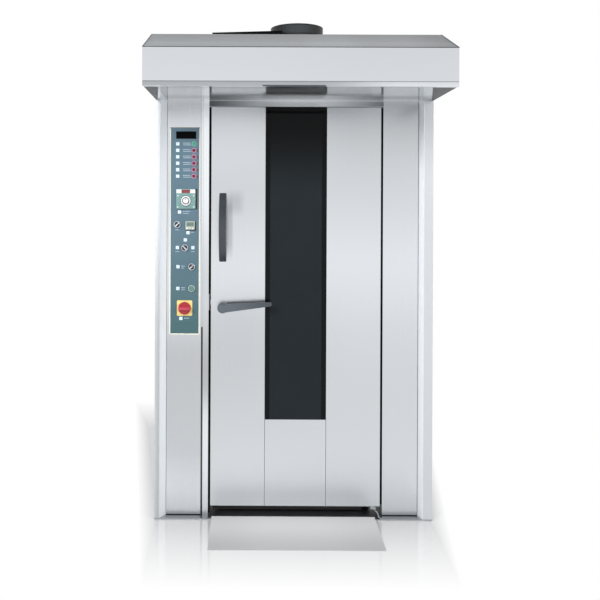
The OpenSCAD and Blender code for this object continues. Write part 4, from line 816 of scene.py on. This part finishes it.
def hood_trim():
    """The folded hem along the hood's lower front edge with its crease and, over the window, a
    dark bar in its lip that is a painted reflection of the window; dark lines along the folds of
    the slope; and dark plates of painted shade in the hood's ends, seen under it."""
    (_, front, foot), (half, _, crown) = node_box("hood_shell")
    foot += 0.0006
    side, fold = half - 0.001, crown - 0.112
    piece("hood_hem", [level_bar(-side, side, front - 0.0002, foot + 0.0103, 0.0010, 0.0103)],
          "hem sheet")
    piece("hood_crease_and_window_reflection", [
        level_bar(x0, x1, front - 0.0009, z, 0.0006, half_z) for x0, x1, z, half_z in (
            # The first bar is the hem's crease; the second is a painted reflection of the dark
            # window in the lip
            (-side, side, foot + 0.0196, 0.0007), (-0.150, 0.100, foot + 0.0024, 0.0026))],
        "dark sheet")
    ends = [x * (half - 0.0006) for x in (-1, 1)]
    piece("hood_edges", [
        rod((-side, front, fold), (side, front, fold), 0.0015),
        *(rod((x, front, fold), (x, front + 0.285, crown - 0.0012), 0.0018) for x in ends)],
        "dark sheet")
    back, lip = node_box("left_corner_post")[0][1] - 0.001, front + 0.018
    # Painted shade: dark plates in the hood's ends, where the hood meets the posts
    piece("hood_end_shade", [
        slab([(way * (half - 0.002), lip), (way * inner, lip),
              (way * (half - 0.008), back), (way * (half - 0.002), back)],
             foot + 0.0014, foot + 0.0042)
        for way, inner in ((-1, 0.563), (1, 0.526))], "dark sheet")


def gap_shade_and_seams():
    """Dark beads of painted shade deep in the gaps at both sides of the door, a painted shadow
    line along the feet of the covers, dark lines in the seams beside the posts, and a light bead
    in the seam between the left cover and the jamb. The left gap's bead is left out where the
    bolt goes through."""
    bolt_low, bolt_high = (corner[2] for corner in node_box("latch_keeper"))
    top = node_box("window_glass")[1][2]
    jamb = node_box("door_surround")[0][0]
    left, right = node_box("control_column_cover"), node_box("right_column_cover")
    deep, front, foot = left[0][1] + 0.0145, left[0][1] - 0.0012, 0.010
    # Painted shade: dark beads deep in the gaps beside the door
    beads = [
        upright_bar(jamb + 0.0300, deep, foot, bolt_low - 0.004, 0.0038, 0.0055),
        upright_bar(jamb + 0.0300, deep, bolt_high + 0.004, top, 0.0038, 0.0055),
        upright_bar(right[0][0] - 0.0028, deep, 0.052, top, 0.0026, 0.0055)]
    # Painted shadow: a dark line along the foot of each cover
    beads += [level_bar(low[0], high[0], front, 0.0042, 0.0012, 0.0040)
              for low, high in (left, right)]
    beads += [upright_bar(x, front + 0.0008, foot, 1.885, half_x, 0.0012)
              for x, half_x in ((right[1][0], 0.0008), (left[0][0], 0.0003))]
    piece("gap_shade_and_seams", beads, "gap rubber")
    seam, width = (jamb + left[1][0]) / 2, jamb - left[1][0]
    head = node_box("hood_underside")[0][2] + 0.0022
    piece("seam_bead", [upright_bar(seam, front + 0.0030, 0.86, head, width / 2 - 0.0003, 0.0014)],
          "jamb sheet")


class OVEN_OT_cabinet(bpy.types.Operator):
    """Outer sheets, posts, hood, duct and ramp with rounded folded edges"""
    bl_idname = "oven.cabinet"
    bl_label = "Cabinet"

    def execute(self, context):
        edge = context.scene.oven_sizes.sheet_edge
        for node in ("right_column_cover", "left_side_panel", "right_side_panel", "rear_panel"):
            softened(node, edge, "upright sheet")
        softened("control_column_cover", edge, "column sheet")
        softened("door_surround", edge, "jamb sheet")
        softened("left_corner_post", edge * 1.5, "left post")
        softened("right_corner_post", edge * 1.5, "right post")
        softened("hood_shell", edge * 1.4, "level sheet")
        hood_trim()
        gap_shade_and_seams()
        softened("ramp", edge, "ramp plate")
        softened("damper_cover", edge * 1.5, "cover paint")
        softened("hinge_brackets", edge, "machined steel")
        softened("latch_keeper", edge * 0.6, "machined steel")
        head_strip()
        dress_nodes("roof sheet", "roof_panel")
        dress_nodes("polished sheet", "hood_underside")
        dress_nodes("base plate", "base_frame", "chamber_floor")
        dress_nodes("duct paint", "flue_duct")
        dress_nodes("machined steel", "flue_damper")
        return {"FINISHED"}


class OVEN_OT_door(bpy.types.Operator):
    """Door skins, window, seal, pull handle and latch lever"""
    bl_idname = "oven.door"
    bl_label = "Door"

    def execute(self, context):
        sizes = context.scene.oven_sizes
        softened("door_left_skin", sizes.sheet_edge * 1.2, "handle skin")
        for node in ("door_right_skin", "door_lower_panel"):
            softened(node, sizes.sheet_edge * 1.2, "upright sheet")
        softened("pull_handle", sizes.handle_edge, "handle grey", 3)
        softened("latch_lever", sizes.handle_edge * 0.7, "lever grey", 3)
        (left, front, foot), (right, _, top) = node_box("door_lower_panel")
        piece("door_seams", [
            upright_bar(x, front + 0.0003, foot + 0.002, top - 0.0005, 0.0011, 0.0007)
            for x in (left, right)], "dark sheet", "door")
        dress_nodes("window glass", "window_glass")
        dress_nodes("lining sheet", "door_liner")
        dress_nodes("base plate", "door_frame")
        dress_nodes("rubber", "door_gasket", "door_sweep")
        dress_nodes("mineral wool", "door_insulation")
        dress_nodes("machined steel", "latch_bolt")
        return {"FINISHED"}


PANEL_LOW, PANEL_HIGH = node_box("control_panel")
FACE = node_box("pilot_lamps")[0][1] + 0.005  # The plane of the panel's front

# Places on the control panel, from its left edge and its upper or lower edge
LAMP_COUNT, LAMP_TOP, LAMP_STEP = 6, 0.072, 0.0294
UPPER_ICONS = [(0.040, 0.382), (0.079, 0.476), (0.067, 0.509), (0.031, 0.544),
               (0.1014, 0.544), (0.034, 0.631), (0.034, 0.730)]
LOWER_ICON, LOWER_WORD, LOWER_LINE = (0.048, 0.069), (0.062, 0.086, 0.070), (0.020, 0.100, 0.045)
UPPER_WORDS = [(0.054, 0.090, 0.379), (0.056, 0.082, 0.388), (0.021, 0.038, 0.463),
               (0.090, 0.106, 0.474), (0.022, 0.040, 0.562), (0.093, 0.110, 0.562),
               (0.048, 0.066, 0.628), (0.049, 0.062, 0.637), (0.048, 0.068, 0.727),
               (0.049, 0.066, 0.736)]


def panel_trim():
    """Bright narrow frame round the panel, and the blank black plate at its top."""
    centre = (PANEL_LOW + PANEL_HIGH) / 2
    centre[1] = FACE
    half_w, _, half_h = (PANEL_HIGH - PANEL_LOW) / 2
    wide = 0.0038
    rim = [(0.0, 0.0030), (0.0, -0.0006), (0.0004, -0.0010), (wide - 0.0004, -0.0010),
           (wide, -0.0006), (wide, 0.0030), (0.0, 0.0030)]
    piece("panel_rim", [pillow(centre, half_w + wide, half_h + wide, 0.004, rim)], "panel rim")
    place = (PANEL_LOW[0] + 0.0695, FACE, PANEL_HIGH[2] - 0.032)
    piece("blank_plate", [plate(place, 0.0458, 0.0168, 0.002, 0.0018, 0.0008)], "blank plate")


def panel_marks(half):
    """White symbol plates, pale bars in place of printed words, and plain pale symbols."""
    left, bottom, top = PANEL_LOW[0], PANEL_LOW[2], PANEL_HIGH[2]
    lamp_rows = [top - LAMP_TOP - i * LAMP_STEP for i in range(LAMP_COUNT)]
    icons = [(left + 0.031, z) for z in lamp_rows]
    icons += [(left + x, top - z) for x, z in UPPER_ICONS]
    icons.append((left + LOWER_ICON[0], bottom + LOWER_ICON[1]))
    words = []
    for z in lamp_rows:
        words += [(left + 0.054, left + 0.088, z + 0.0035),
                  (left + 0.056, left + 0.091, z - 0.0045)]
    words += [(left + x0, left + x1, top - z) for x0, x1, z in UPPER_WORDS]
    x0, x1, z = LOWER_WORD
    words.append((left + x0, left + x1, bottom + z))
    face = FACE - 0.00002
    piece("symbol_plates", [
        plate((x, face, z), half, half, 0.0016, 0.0006, 0.0003, steps=3) for x, z in icons],
        "mark white")
    piece("word_bars", [
        plate(((x0 + x1) / 2, face, z), (x1 - x0) / 2, 0.0016, 0.0008, 0.0004, 0.0002, steps=3)
        for x0, x1, z in words], "mark pale")
    ring = profile(1, 0, 1, 0.3, 1.9, 0.3, 1.9, 0, 1, 0)
    piece("plain_symbols", [turned((x, face - 0.0006, z), ring, steps=16) for x, z in icons],
          "mark pale")
    x0, x1, z = LOWER_LINE
    piece("panel_line", [
        plate((left + (x0 + x1) / 2, face, bottom + z), (x1 - x0) / 2, 0.0007, 0.0006,
              0.0003, 0.0002, steps=3)], "mark dark")


def pilot_lamps():
    """Each pilot lamp: a stepped bright ring, and a domed lens; a dark mark beside all but
    the first."""
    low, high = node_box("pilot_lamps")
    x, inset = (low[0] + high[0]) / 2 - 0.0055, 0.0078
    heights = np.linspace(high[2] - inset, low[2] + inset, LAMP_COUNT)
    places = [(x, FACE, z) for z in heights]
    ring = profile(7.6, 0, 11.2, 0, 11.2, 1, 10.4, 2.1, 8.4, 2.4, 7.5, 1.6, 7.6, 0)
    lens = [(0.0, 0.0), (0.0077, 0.0)] + [
        (0.0077 * math.cos(a), -0.0015 - 0.0035 * math.sin(a))
        for a in np.linspace(0, np.pi / 2, 7)]
    piece("lamp_marks", [
        plate((x + 0.0170, FACE, z - 0.001), 0.0028, 0.0060, 0.0018, 0.0008, 0.0004, steps=3)
        for z in heights[1:]], "lamp mark")
    split = (heights[0] + heights[1]) / 2
    for finish, green, red in (
        ("lamp bezel", linear(112, 170, 152), linear(192, 138, 166)),
        ("lamp lens", linear(60, 150, 126), linear(104, 22, 52)),
    ):
        MATERIALS[finish] = lamp_lens_material(finish, green, red, split)
    piece("lamp_rings", [turned(place, ring, steps=32) for place in places], "lamp bezel")
    piece("lamp_lenses", [turned(place, lens, steps=32) for place in places],
          "lamp lens", "cabinet", "pilot_lamps")


def controller():
    """Temperature controller: a white surround, its display strip, a green field with four
    screws and scale marks, a black plate of painted shadow at its right and below, and the
    dial with a stepped skirt."""
    low, high = node_box("temperature_controller")
    x, front, z = (low[0] + high[0]) / 2, low[1], (low[2] + high[2]) / 2
    half_w, _, half_h = (high - low) / 2
    proud = front + 0.0012
    piece("controller_case", [
        plate((x, FACE, z), half_w, half_h, 0.004, FACE - front - 0.0008, 0.0018,
              inset=half_h)], "controller green", "cabinet", "temperature_controller")
    # Painted shadow: a black plate behind the case, offset to the right and down
    piece("controller_painted_shadow", [
        plate((x + 0.0045, FACE, z - 0.0008), half_w + 0.0032, half_h + 0.0012, 0.003,
              0.0016, 0.0006, inset=half_h)], "knob black")
    strip = high[2] - 0.0115
    piece("controller_pads", [
        plate((pad, proud, strip), 0.0118, 0.0088, 0.002, 0.0022, 0.0008)
        for pad in (low[0] + 0.0128, high[0] - 0.0128)], "white plastic")
    piece("controller_display", [
        plate((x, proud, strip), 0.0195, 0.0072, 0.0015, 0.0020, 0.0005)], "display red")
    dome = profile(0, 1.6, 2, 1.4, 3, 0.6, 3, -0.8, 0, -0.8)
    piece("controller_screws", [
        turned((sx, front + 0.0008, sz), dome, steps=20)
        for sx in (low[0] + 0.008, high[0] - 0.008)
        for sz in (low[2] + 0.008, high[2] - 0.031)], "white plastic")
    dial(front)


def dial(front):
    """The dial before the controller's front, with its scale marks."""
    x, _, z = node_centre("temperature_dial")
    place, reach = (x, front, z), 0.0268
    piece("dial_scale", [
        plate((x + reach * math.sin(a), front + 0.0008, z + reach * math.cos(a)),
              0.0006, 0.0019, 0.0004, 0.0006, 0.0002, math.degrees(a), 3)
        for a in np.radians(np.arange(-135, 136, 22.5))], "mark white")
    skirt = profile(0, 0.8, 24, 0.8, 24.4, 2, 24, 3.4, 20.5, 4.4, 19, 4, 17.5, 4.6, 16, 5, 0, 5)
    knob = profile(0, 4.8, 13.2, 4.8, 13, 6, 12, 13, 11.4, 13.9, 10, 14.3, 0, 14.3)
    inner = profile(12.8, 4.9, 16.2, 4.9, 16.2, 5.4, 12.8, 5.5, 12.8, 4.9)
    outer = profile(22.4, 1, 24.6, 1, 24.7, 2, 24.3, 3.6, 22.4, 4.3, 22.4, 1)
    body = "temperature_dial"
    piece("dial_skirt", [turned(place, skirt, steps=64)], "white plastic", body)
    piece("dial_groove", [turned(place, ring, steps=64) for ring in (inner, outer)],
          "mark dark", body)
    piece("dial_knob", [turned(place, knob, steps=60, wave=0.012, waves=20)],
          "white plastic", body, body)
    piece("dial_pointer", [
        plate((x, front - 0.0141, z + 0.0068), 0.0009, 0.0040, 0.0008, 0.0008, 0.0003, steps=3)],
        "mark dark", body)


def timer():
    """Timer: pale case with rounded edges, black strips of painted shadow at its right and below, a
    display, and three keys.
    """
    low, high = node_box("timer_module")
    x, front, z = (low[0] + high[0]) / 2, low[1], (low[2] + high[2]) / 2
    half_w, _, half_h = (high - low) / 2
    softened("timer_module", 0.0009, "timer case")
    # Painted shadow: black strips at the case's right and below it
    piece("timer_painted_shadow", [
        plate((sx, FACE, sz), w, h, 0.001, 0.0016, 0.0006) for sx, sz, w, h in (
            (high[0] + 0.0022, z - 0.0024, 0.0030, half_h + 0.0012),
            (x + 0.0030, low[2] - 0.0020, half_w + 0.0020, 0.0026))], "knob black")
    middle = z + 0.0055
    piece("timer_display", [
        plate((x, front + 0.0004, middle), half_w - 0.005, half_h - 0.0095, 0.0015,
              0.0010, 0.0004)], "timer display")
    digits = (-0.010, -0.0035, 0.0055, 0.012)
    strokes = [(x + digit, middle + dz, 0.0018, 0.0005)
               for digit in digits for dz in (0.0042, -0.0042)]
    strokes += [(x + digit + dx, middle, 0.0005, 0.0036)
                for digit in digits for dx in (-0.0022, 0.0022)]
    piece("timer_digits", [
        plate((sx, front - 0.0006, sz), w, h, 0.0003, 0.0002, 0.0001, steps=3)
        for sx, sz, w, h in strokes], "mark dark")
    for key in ("timer_key_left", "timer_key_middle", "timer_key_right"):
        softened(key, 0.0009, "key white", 3)


def selector(node, turn):
    """Selector: bright stepped ring, sunk black face, and a silver grip bar with a notch."""
    x, _, z = node_centre(node)
    place = (x, FACE, z)
    ring = profile(12.4, 4.5, 12.5, 7.8, 13.4, 8.8, 14.5, 8.2, 15.2, 6, 15.5, 0.8, 10, 0.8, 12.4,
                   4.5)
    face = profile(0, 0.8, 12.6, 0.8, 12.6, 5.2, 11.2, 5.8, 0, 6)
    piece(node + "_ring", [turned(place, ring, steps=56)], "satin ring", node)
    piece(node + "_face", [turned(place, face, steps=56)], "knob black", node, node)
    piece(node + "_grip", [
        plate((x, FACE - 0.0058, z), 0.0028, 0.0122, 0.0024, 0.0090, 0.0014, turn,
              inset=0.0026)], "satin ring", node)
    t, reach = math.radians(turn), 0.0050
    mark = (x + reach * math.sin(t), FACE - 0.0147, z + reach * math.cos(t))
    piece(node + "_mark", [plate(mark, 0.0009, 0.0046, 0.0008, 0.0006, 0.0003, turn, 3)],
          "mark dark", node)


def start_button():
    """Push button: a bright bezel on the panel and a crowned green cap."""
    x, _, z = node_centre("start_button")
    place = (x, FACE, z)
    bezel = profile(12.2, 0, 15.5, 0, 15.5, 4.2, 14.6, 6.2, 13.4, 6.8, 12.4, 6, 12.2, 0)
    cap = [(0.0, -0.0055), (0.0114, -0.0055), (0.0114, -0.0102)] + [
        (0.0112 * (1 - u), -0.0108 - 0.0013 * (1 - (1 - u) ** 2)) for u in np.linspace(0, 1, 7)]
    piece("start_bezel", [turned(place, bezel, steps=56)], "satin ring")
    piece("start_cap", [turned(place, cap, steps=56)],
          "button green", "start_button", "start_button")


def main_switch():
    """Main switch: yellow plate, and a red handle with a scalloped edge and a level grip whose
    lighter red is a painted highlight.
    """
    low, high = node_box("main_switch_plate")
    x, front, z = (low[0] + high[0]) / 2, low[1], (low[2] + high[2]) / 2
    half, body, reach = (high[0] - low[0]) / 2, "main_switch_handle", 0.0295
    piece("switch_plate", [
        plate((x, FACE, z), half, half, 0.005, FACE - front, 0.0012)],
        "switch yellow", "cabinet", "main_switch_plate")
    knob = profile(0, 0.6, 28.4, 0.6, 28.6, 7, 27.6, 9.8, 25.8, 11.6, 23.6, 12, 22.8, 10.4, 0,
                   10.4)
    piece("switch_knob", [turned((x, front, z), knob, steps=144, wave=0.022, waves=12)],
          "switch red", body, body)
    # The grip is the handle's red made lighter: a painted highlight
    piece("switch_grip", [
        plate((x, front - 0.0100, z), 0.0268, 0.0072, 0.0050, 0.0165, 0.0030)],
        "switch grip", body)
    piece("switch_mark", [
        plate((x + 0.016, front - 0.0264, z), 0.0070, 0.0010, 0.0008, 0.0006, 0.0003, steps=3)],
        "switch red", body)
    dome = profile(0, 1.2, 1.4, 1, 2.2, 0, 0, 0)
    piece("switch_screws", [
        turned((x + sx * reach, front + 0.0001, z + sz * reach), dome, steps=16)
        for sx in (-1, 1) for sz in (-1, 1)], "bright ring")


class OVEN_OT_controls(bpy.types.Operator):
    """Control panel with its plates, lamps, dial, timer and switches"""
    bl_idname = "oven.controls"
    bl_label = "Controls"

    def execute(self, context):
        dress_nodes("panel paint", "control_panel")
        panel_trim()
        panel_marks(context.scene.oven_sizes.icon_side / 2)
        pilot_lamps()
        controller()
        timer()
        for node, turn in (("heat_selector", 45), ("fan_selector", -45), ("lamp_selector", 45)):
            selector(node, turn)
        start_button()
        main_switch()
        return {"FINISHED"}


class OVEN_OT_chamber(bpy.types.Operator):
    """Lining, air wall, carrier, fan wheel, heaters and steam generator"""
    bl_idname = "oven.chamber"
    bl_label = "Chamber"

    def execute(self, context):
        dress_nodes("lining sheet", "portal_frame", "chamber_left_wall", "chamber_right_wall",
                    "chamber_back_wall", "chamber_ceiling", "air_wall")
        dress_nodes("mineral wool", "insulation")
        dress_nodes("carrier steel", "rack_carrier", "fan_impeller")
        dress_nodes("heated tube", "heating_elements")
        dress_nodes("scaled iron", "steam_generator")
        dress_nodes("lamp glass", "chamber_lamp")
        dress_nodes("drive paint", "gearmotor", "fan_motor")
        dress_nodes("iron casting", "carrier_bearing")
        return {"FINISHED"}


class OVEN_OT_fasteners(bpy.types.Operator):
    """Domed screws along the edges of the side sheets and the back sheet"""
    bl_idname = "oven.fasteners"
    bl_label = "Fasteners"

    def execute(self, context):
        sizes = context.scene.oven_sizes
        r, count = sizes.screw_radius, sizes.screw_count
        dome = [(0.0, r * 0.42), (r * 0.5, r * 0.36), (r * 0.86, r * 0.18), (r, 0.0), (0.0, 0.0)]
        (_, near, _), (side, far, top) = node_box("right_side_panel")
        heights = np.linspace(0.12, top - 0.10, count)
        piece("side_screws", [
            turned((way * side, y, z), [(a, way * b) for a, b in dome], "X", 14)
            for way in (1, -1) for y in (near + 0.05, far - 0.05) for z in heights], "bright ring")
        edge = node_box("rear_panel")[1][0] - 0.045
        spots = [(x, z) for x in (-edge, edge) for z in heights]
        spots += [(x, z) for x in np.linspace(-edge, edge, 5)[1:-1] for z in (0.06, top - 0.06)]
        piece("rear_screws", [turned((x, far - 0.030, z), dome, "Y", 14) for x, z in spots],
              "bright ring")
        return {"FINISHED"}


def placed(obj, right, up, back, at):
    """Links a lamp or camera with its own three axes and its place."""
    bpy.context.scene.collection.objects.link(obj)
    rows = np.column_stack([right, up, back, at]).tolist()
    obj.matrix_world = Matrix([*rows, (0.0, 0.0, 0.0, 1.0)])


def studio_world():
    """White towards the horizon; greyer overhead for what reflects in metal. Light on
    matt surfaces comes at a lower level."""
    world = bpy.data.worlds.new("Studio")
    bpy.context.scene.world = world
    world.use_nodes = True
    tree = world.node_tree
    around = add_node(tree, "TexCoord").outputs["Generated"]
    height = add_node(tree, "SeparateXYZ", {0: around}).outputs["Z"]
    grey = ramp(tree, height, [
        (0.20, (1, 1, 1)), (0.48, (0.47, 0.475, 0.48)), (0.72, (0.30, 0.304, 0.31))])
    seen, direct = seen_rays(tree)
    sky = tree.nodes["Background"].inputs
    feed(tree, sky["Color"], mixed(tree, direct, grey, (1, 1, 1, 1)))
    feed(tree, sky["Strength"], ranged(tree, seen, 0.0, 1.0, 0.80, 1.0, "LINEAR"))


def studio_floor():
    """A pale, slightly glossy floor that fades into white away from the oven."""
    size = 14.0
    corners = [(-size, -size, 0), (size, -size, 0), (size, size, 0), (-size, size, 0)]
    mesh = bpy.data.meshes.new("studio_floor")
    mesh.from_pydata(corners, [], [(0, 1, 2, 3)])
    obj = bpy.data.objects.new("studio_floor", mesh)
    bpy.context.scene.collection.objects.link(obj)
    material, tree = new_material("studio floor")
    feed_shader(tree, {
        "Base Color": (0.82, 0.82, 0.825, 1), "Roughness": 0.04, "Metallic": 0.35})
    axes = own_axes(tree)
    reach = calc(tree, "MULTIPLY_ADD", axes["Y"], 0.16, 0.700)
    beside = calc(tree, "SUBTRACT", calc(tree, "ABSOLUTE", axes["X"]), reach)
    before = calc(tree, "ABSOLUTE", calc(tree, "SUBTRACT", axes["Y"], 0.21))
    away = calc(tree, "MAXIMUM", calc(tree, "MULTIPLY", beside, 8.0),
                calc(tree, "SUBTRACT", before, 0.72))
    fade = ranged(tree, away, 0.0, 0.62, kind="LINEAR")
    blend = add_node(tree, "MixShader", {
        "Fac": calc(tree, "MULTIPLY", fade, seen_rays(tree)[0]),
        1: tree.nodes["Principled BSDF"].outputs[0],
        2: add_node(tree, "Emission").outputs[0]})
    feed(tree, tree.nodes["Material Output"].inputs["Surface"], blend.outputs[0])
    mesh.materials.append(material)


def studio_lamps():
    """Large soft lamps: left and right in front, one overhead and one at the back."""
    for name, at, aim, size, power in (
        ("left soft lamp", (-3.0, -4.2, 3.4), (0, -0.4, 1.0), 1.6, 190.0),
        ("right soft lamp", (3.4, -3.8, 2.6), (0, -0.4, 1.0), 3.0, 120.0),
        ("overhead lamp", (0.0, -0.6, 5.2), (0, -0.2, 0.0), 4.0, 70.0),
        ("back lamp", (-2.0, 5.2, 2.0), (0, 0.6, 1.0), 3.0, 50.0),
    ):
        data = bpy.data.lights.new(name, "AREA")
        data.size, data.energy = size, power
        lamp = bpy.data.objects.new(name, data)
        away = np.subtract(at, aim)
        away /= np.linalg.norm(away)
        right = np.cross((0, 0, 1.0), away)
        right /= np.linalg.norm(right)
        placed(lamp, right, np.cross(away, right), away, at)
        lamp.visible_glossy = False


def studio_camera():
    """Camera straight in front, left of the middle, with its picture shifted down."""
    data = bpy.data.cameras.new("Front camera")
    data.sensor_width, data.lens = 36.0, 46.33
    data.shift_x, data.shift_y = 0.0825, -0.1609
    data.clip_start, data.clip_end = 0.05, 100.0
    camera = bpy.data.objects.new("Front camera", data)
    yaw, pitch, roll = (math.radians(a) for a in (-0.194, -0.065, 0.229))
    forward = np.array([math.sin(yaw) * math.cos(pitch), math.cos(yaw) * math.cos(pitch),
                        math.sin(pitch)])
    side = np.array([math.cos(yaw), -math.sin(yaw), 0.0])
    right = side * math.cos(roll) + np.cross(side, forward) * math.sin(roll)
    placed(camera, right, np.cross(right, forward), -forward, (-0.1851, -3.984, 1.4281))
    bpy.context.scene.camera = camera


class OVEN_OT_stage(bpy.types.Operator):
    """Pale floor, white surroundings, soft lamps and the camera"""
    bl_idname = "oven.stage"
    bl_label = "Stage"

    def execute(self, context):
        studio_world()
        studio_floor()
        studio_lamps()
        studio_camera()
        context.scene.view_settings.view_transform = "Standard"
        return {"FINISHED"}


class OVEN_PT_panel(bpy.types.Panel):
    """Lists the builders of the oven with the sizes and colours they use"""
    bl_idname = "OVEN_PT_panel"
    bl_label = "Rotating rack oven"
    bl_space_type = "VIEW_3D"
    bl_region_type = "UI"
    bl_category = "Rack oven"

    def draw(self, context):
        layout = self.layout
        for group in (context.scene.oven_sizes, context.scene.oven_finish):
            for name in group.bl_rna.properties.keys():
                if name not in ("rna_type", "name"):
                    layout.prop(group, name)
        for builder in BUILDERS:
            layout.operator(builder.bl_idname)


BUILDERS = (OVEN_OT_cabinet, OVEN_OT_door, OVEN_OT_controls, OVEN_OT_chamber,
            OVEN_OT_fasteners, OVEN_OT_stage)
CLASSES = (OvenSizes, OvenFinish, *BUILDERS, OVEN_PT_panel)


def register():
    for cls in CLASSES:
        bpy.utils.register_class(cls)
    bpy.types.Scene.oven_sizes = PointerProperty(type=OvenSizes)
    bpy.types.Scene.oven_finish = PointerProperty(type=OvenFinish)


def unregister():
    del bpy.types.Scene.oven_finish
    del bpy.types.Scene.oven_sizes
    for cls in reversed(CLASSES):
        bpy.utils.unregister_class(cls)


def main():
    register()
    bpy.ops.oven.cabinet()
    bpy.ops.oven.door()
    bpy.ops.oven.controls()
    bpy.ops.oven.chamber()
    bpy.ops.oven.fasteners()
    bpy.ops.oven.stage()


if __name__ == "__main__":
    main()
